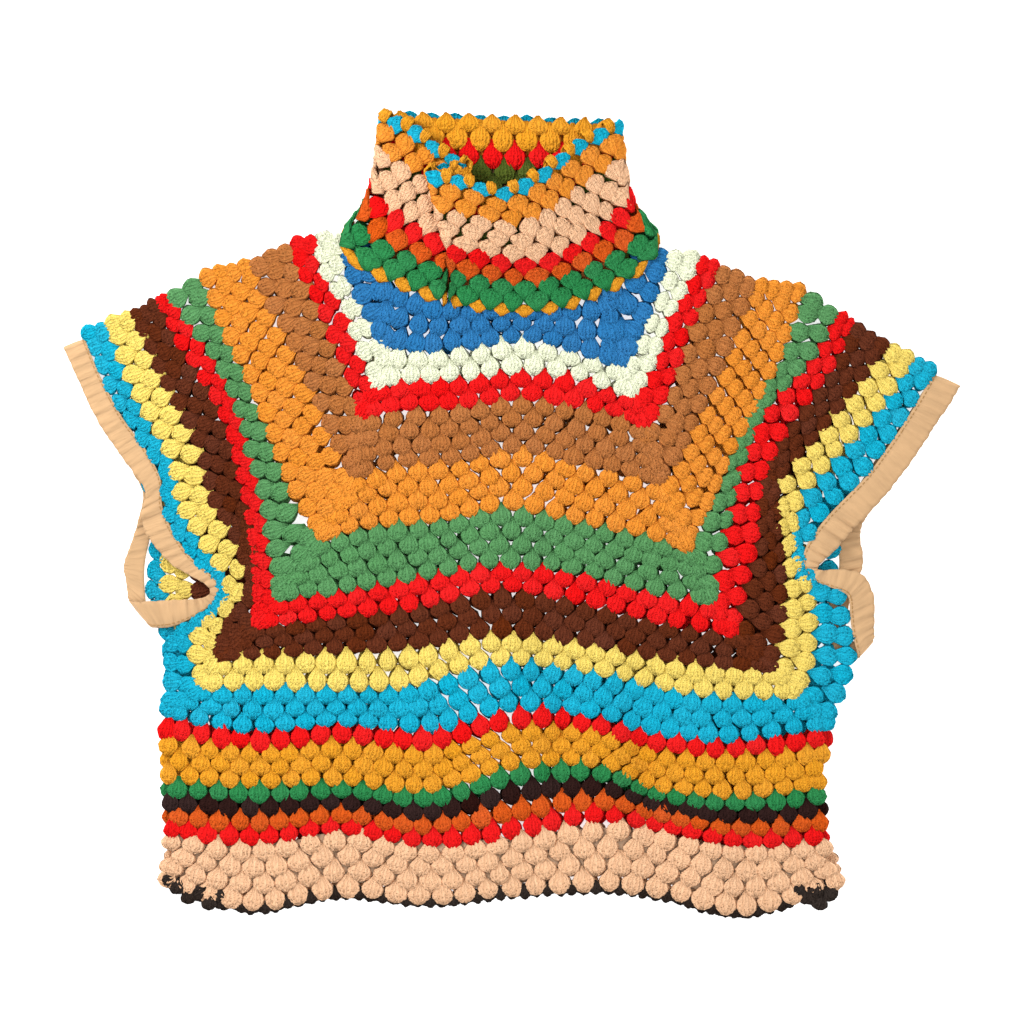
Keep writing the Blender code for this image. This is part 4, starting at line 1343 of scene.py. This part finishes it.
def stitch_row(name, spot, normals, sewn, at):
    """Stitches along the sewn edge, one short bead of thread each."""
    rows = np.interp(STITCH_IN, np.linspace(TAPE_START, 1.0, CUFF_ROWS), np.arange(CUFF_ROWS))
    low = int(rows)
    line = spot[:, low] + (spot[:, low + 1] - spot[:, low]) * (rows - low)
    count = int(len(at) * CUFF_STEP / STITCH)
    verts, faces, first = [], [], 0
    for k in range(count):
        i = int(k * STITCH / CUFF_STEP) % len(at)
        n = (i + 2) % len(at)
        way = line[n] - line[i]
        way /= max(np.linalg.norm(way), 1e-6)
        up = normals[i]
        side = np.cross(way, up)
        bead = STITCH_RING[:, 0:1] * way + STITCH_RING[:, 1:2] * side + STITCH_RING[:, 2:3] * up
        bead = bead + line[i] + up * (CUFF_WALL / 2 + CUFF_CLEAR)
        bead[:, 2] += max(CUFF_CLEAR - bead[:, 2].min(), 0.0)
        verts.append(bead)
        faces.append(STITCH_FACES + first)
        first += len(STITCH_RING)
    return finish_piece(name, np.concatenate(verts) * MM, np.concatenate(faces), [TAPES["thread"]])


def stitch_bead():
    """One stitch, a short rounded bead along X."""
    deselect()
    bpy.ops.mesh.primitive_cube_add(size=2)
    bead = bpy.context.object
    bpy.ops.object.mode_set(mode="EDIT")
    bpy.ops.mesh.select_all(action="SELECT")
    bpy.ops.transform.resize(value=STITCH_HALF)
    bpy.ops.mesh.bevel(offset=STITCH_ROUND, segments=1, affect="EDGES")
    bpy.ops.mesh.quads_convert_to_tris()
    bpy.ops.object.mode_set(mode="OBJECT")
    points = np.array([v.co[:] for v in bead.data.vertices])
    faces = np.array([list(face.vertices) for face in bead.data.polygons])
    remove(bead)
    return points, faces


# Waves of the hem's tape where it is eased in
#   height  length
HEM_WAVES = [(0.5, 4.1), (0.7, 9.7)]


def hem_tape():
    """The twill tape inside the hem: its solid's form, with finer waves where the tape is eased in."""
    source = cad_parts["hem_facing"]
    obj = source.copy()
    obj.data = source.data.copy()
    obj.name = obj.data.name = "hem_tape"
    bpy.context.scene.collection.objects.link(obj)
    for key in list(obj.keys()):
        del obj[key]
    obj.data.materials.clear()
    # The hem's tape is the tan tape, coloured darker and greyer as painted shade, since it lies inside the
    # hem
    obj.data.materials.append(TAPES["tan_in_painted_shade"])
    pick(obj)
    bpy.ops.object.mode_set(mode="EDIT")
    bpy.ops.mesh.select_all(action="SELECT")
    bpy.ops.mesh.remove_doubles(threshold=0.00002)
    bpy.ops.mesh.subdivide(number_cuts=1)
    bpy.ops.object.mode_set(mode="OBJECT")
    for vertex in obj.data.vertices:
        x = vertex.co.x / MM
        vertex.co.y += sum(high * math.sin(x / long) for high, long in HEM_WAVES) * MM
    obj.data.shade_smooth()
    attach(obj, "root")
    return obj


# Studio, in metres and watts

FRAME_WIDTH = 0.9216      # width of the picture on the floor
FRAME_CENTRE_Y = -0.0018
CAMERA_HIGH = 1.5
FLOOR_SIZE = 8
FLOOR_BELOW = 0.0004      # how far the floor lies under the garment
FLOOR_GLOW = 0.7
ROOM_LIGHT = 0.98


def area_light(name, place, size, power):
    """A soft round light over the floor, turned to the middle of the garment."""
    data = bpy.data.lights.new(name, "AREA")
    data.shape = "DISK"
    data.size = size
    data.energy = power
    light = bpy.data.objects.new(name, data)
    light.location = place
    light.rotation_euler = (-Vector(place)).to_track_quat("-Z", "Y").to_euler()
    bpy.context.scene.collection.objects.link(light)


# Sizes of the cut


def collar_cut(last):
    """Mean way round and depth in metres of the collar from its rim to a row."""
    rounds = np.linspace(0, 1, 201)
    rows = np.linspace(0, last, 25)
    grid = np.array([COLLAR.place(rounds, np.full(201, row), 0.0) for row in rows]) * MM
    around = np.linalg.norm(np.diff(grid, axis=1), axis=2).sum(axis=1).mean()
    deep = np.linalg.norm(np.diff(grid, axis=0), axis=2).sum(axis=0).mean()
    return float(around), float(deep)


# Building

FRONT = Panel("body_front", True, -WOOL / 2)
BACK = Panel("body_back", False, WOOL / 2)
CLUSTER = granny_cluster()
STITCH_RING, STITCH_FACES = stitch_bead()
WOOLS = {yarn: plied_wool(yarn, colour, fuzz) for yarn, (colour, fuzz) in YARNS.items()}
TAPES = {
    "tan": twill_tape("cotton_twill_tape_tan", "#C7A075"),
    # The same tan tape, coloured darker and greyer as painted shade, for the hem's tape that lies inside the
    # hem
    "tan_in_painted_shade": twill_tape("cotton_twill_tape_tan_in_painted_shade", "#B8977A"),
    "thread": twill_tape("cotton_thread", "#A8804E"),
}

UPPER_BANDS = ("blue", "mint", "upper red", "brown", "orange")
LOWER_BANDS = ("green", "lower red", "dark brown", "yellow", "turquoise")
BACK_SIZE = {"flat": 0.6, "lift": 0.1}  # pressed flatter where it lies on the floor
for side, surface, size in (("front", FRONT, {}), ("back", BACK, BACK_SIZE)):
    for part, bands in (("yoke_upper", UPPER_BANDS), ("yoke_lower", LOWER_BANDS), ("skirt", None)):
        cells = Cells()
        if bands:
            work_yoke(cells, bands, surface, side == "back", **size)
        else:
            work_skirt(cells, surface, side == "back", **size)
        crochet(f"{side}_{part}", cells, surface.place)
for part in ("yoke_upper", "yoke_lower", "skirt"):
    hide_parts("body_front")
    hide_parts("body_back")

COLLAR = Collar()
turned_cells, stand_cells = Cells(), Cells()
work_turned(turned_cells)
work_stand(stand_cells)
collar_turned = crochet("collar_turned", turned_cells, COLLAR.place)
collar_stand = crochet("collar_stand", stand_cells, COLLAR.place)
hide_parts("collar")
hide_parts("collar")

front_edging, back_edging = Cells(), Cells()
work_edging(front_edging, FRONT, False)
work_edging(back_edging, BACK, True)
for x, y, turn, half, long in FASTENED_ENDS:
    way = np.array([math.sin(math.radians(turn)), math.cos(math.radians(turn))])
    spot = np.array([x, y], float)
    foot, top = spot - way * long / 2, spot + way * long / 2
    front_edging.add(foot, top, (way[1] * half, -way[0] * half), "edging", lift=FASTENED_LIFT)
edging_front = crochet("hem_edging_front", front_edging, FRONT.place)
edging_back = crochet("hem_edging_back", back_edging, BACK.place)
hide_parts("hem_edging")
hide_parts("hem_edging")

facing = hem_tape()
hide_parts("hem_facing")
left_cuff, left_stitches, left_long, left_wide = cuff("armhole_binding_left", LEFT_CUFF, 1, 3)
right_cuff, right_stitches, right_long, right_wide = cuff("armhole_binding_right", RIGHT_CUFF, -1, 4)
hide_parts("armhole_binding_left")
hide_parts("armhole_binding_right")

# Floor, light and camera
deselect()
bpy.ops.mesh.primitive_plane_add(size=FLOOR_SIZE, location=(0, 0, -FLOOR_BELOW))
floor = bpy.context.object
floor.name = "floor"
bpy.ops.object.transform_apply(location=True)
paper, tree, shader = new_material("matt_white_paper")
shader.inputs["Base Color"].default_value = linear("#F7F7F7")
shader.inputs["Roughness"].default_value = 0.9
shader.inputs["Emission Color"].default_value = (1.0, 1.0, 1.0, 1.0)
shader.inputs["Emission Strength"].default_value = FLOOR_GLOW
floor.data.materials.append(paper)

world = bpy.data.worlds.new("soft_room")
bpy.context.scene.world = world
world.use_nodes = True
world.node_tree.nodes["Background"].inputs[0].default_value = (1, 1, 1, 1)
world.node_tree.nodes["Background"].inputs[1].default_value = ROOM_LIGHT

area_light("window", (-1.1, 0.9, 1.2), 0.8, 26)
area_light("fill", (1.2, -0.6, 1.6), 1.4, 8)

camera_data = bpy.data.cameras.new("camera")
camera_data.type = "ORTHO"
camera_data.ortho_scale = FRAME_WIDTH
camera = bpy.data.objects.new("camera", camera_data)
camera.location = (0, FRAME_CENTRE_Y, CAMERA_HIGH)
bpy.context.scene.collection.objects.link(camera)
bpy.context.scene.camera = camera
bpy.context.scene.view_settings.view_transform = "Standard"

for obj, last, slot, below in (
    (collar_turned, len(TURNED_YARNS), "wool_peach", "collar_stand"),
    (collar_stand, -len(STAND_YARNS), "wool_mustard", "back_yoke_upper"),
):
    collar_cut(last)
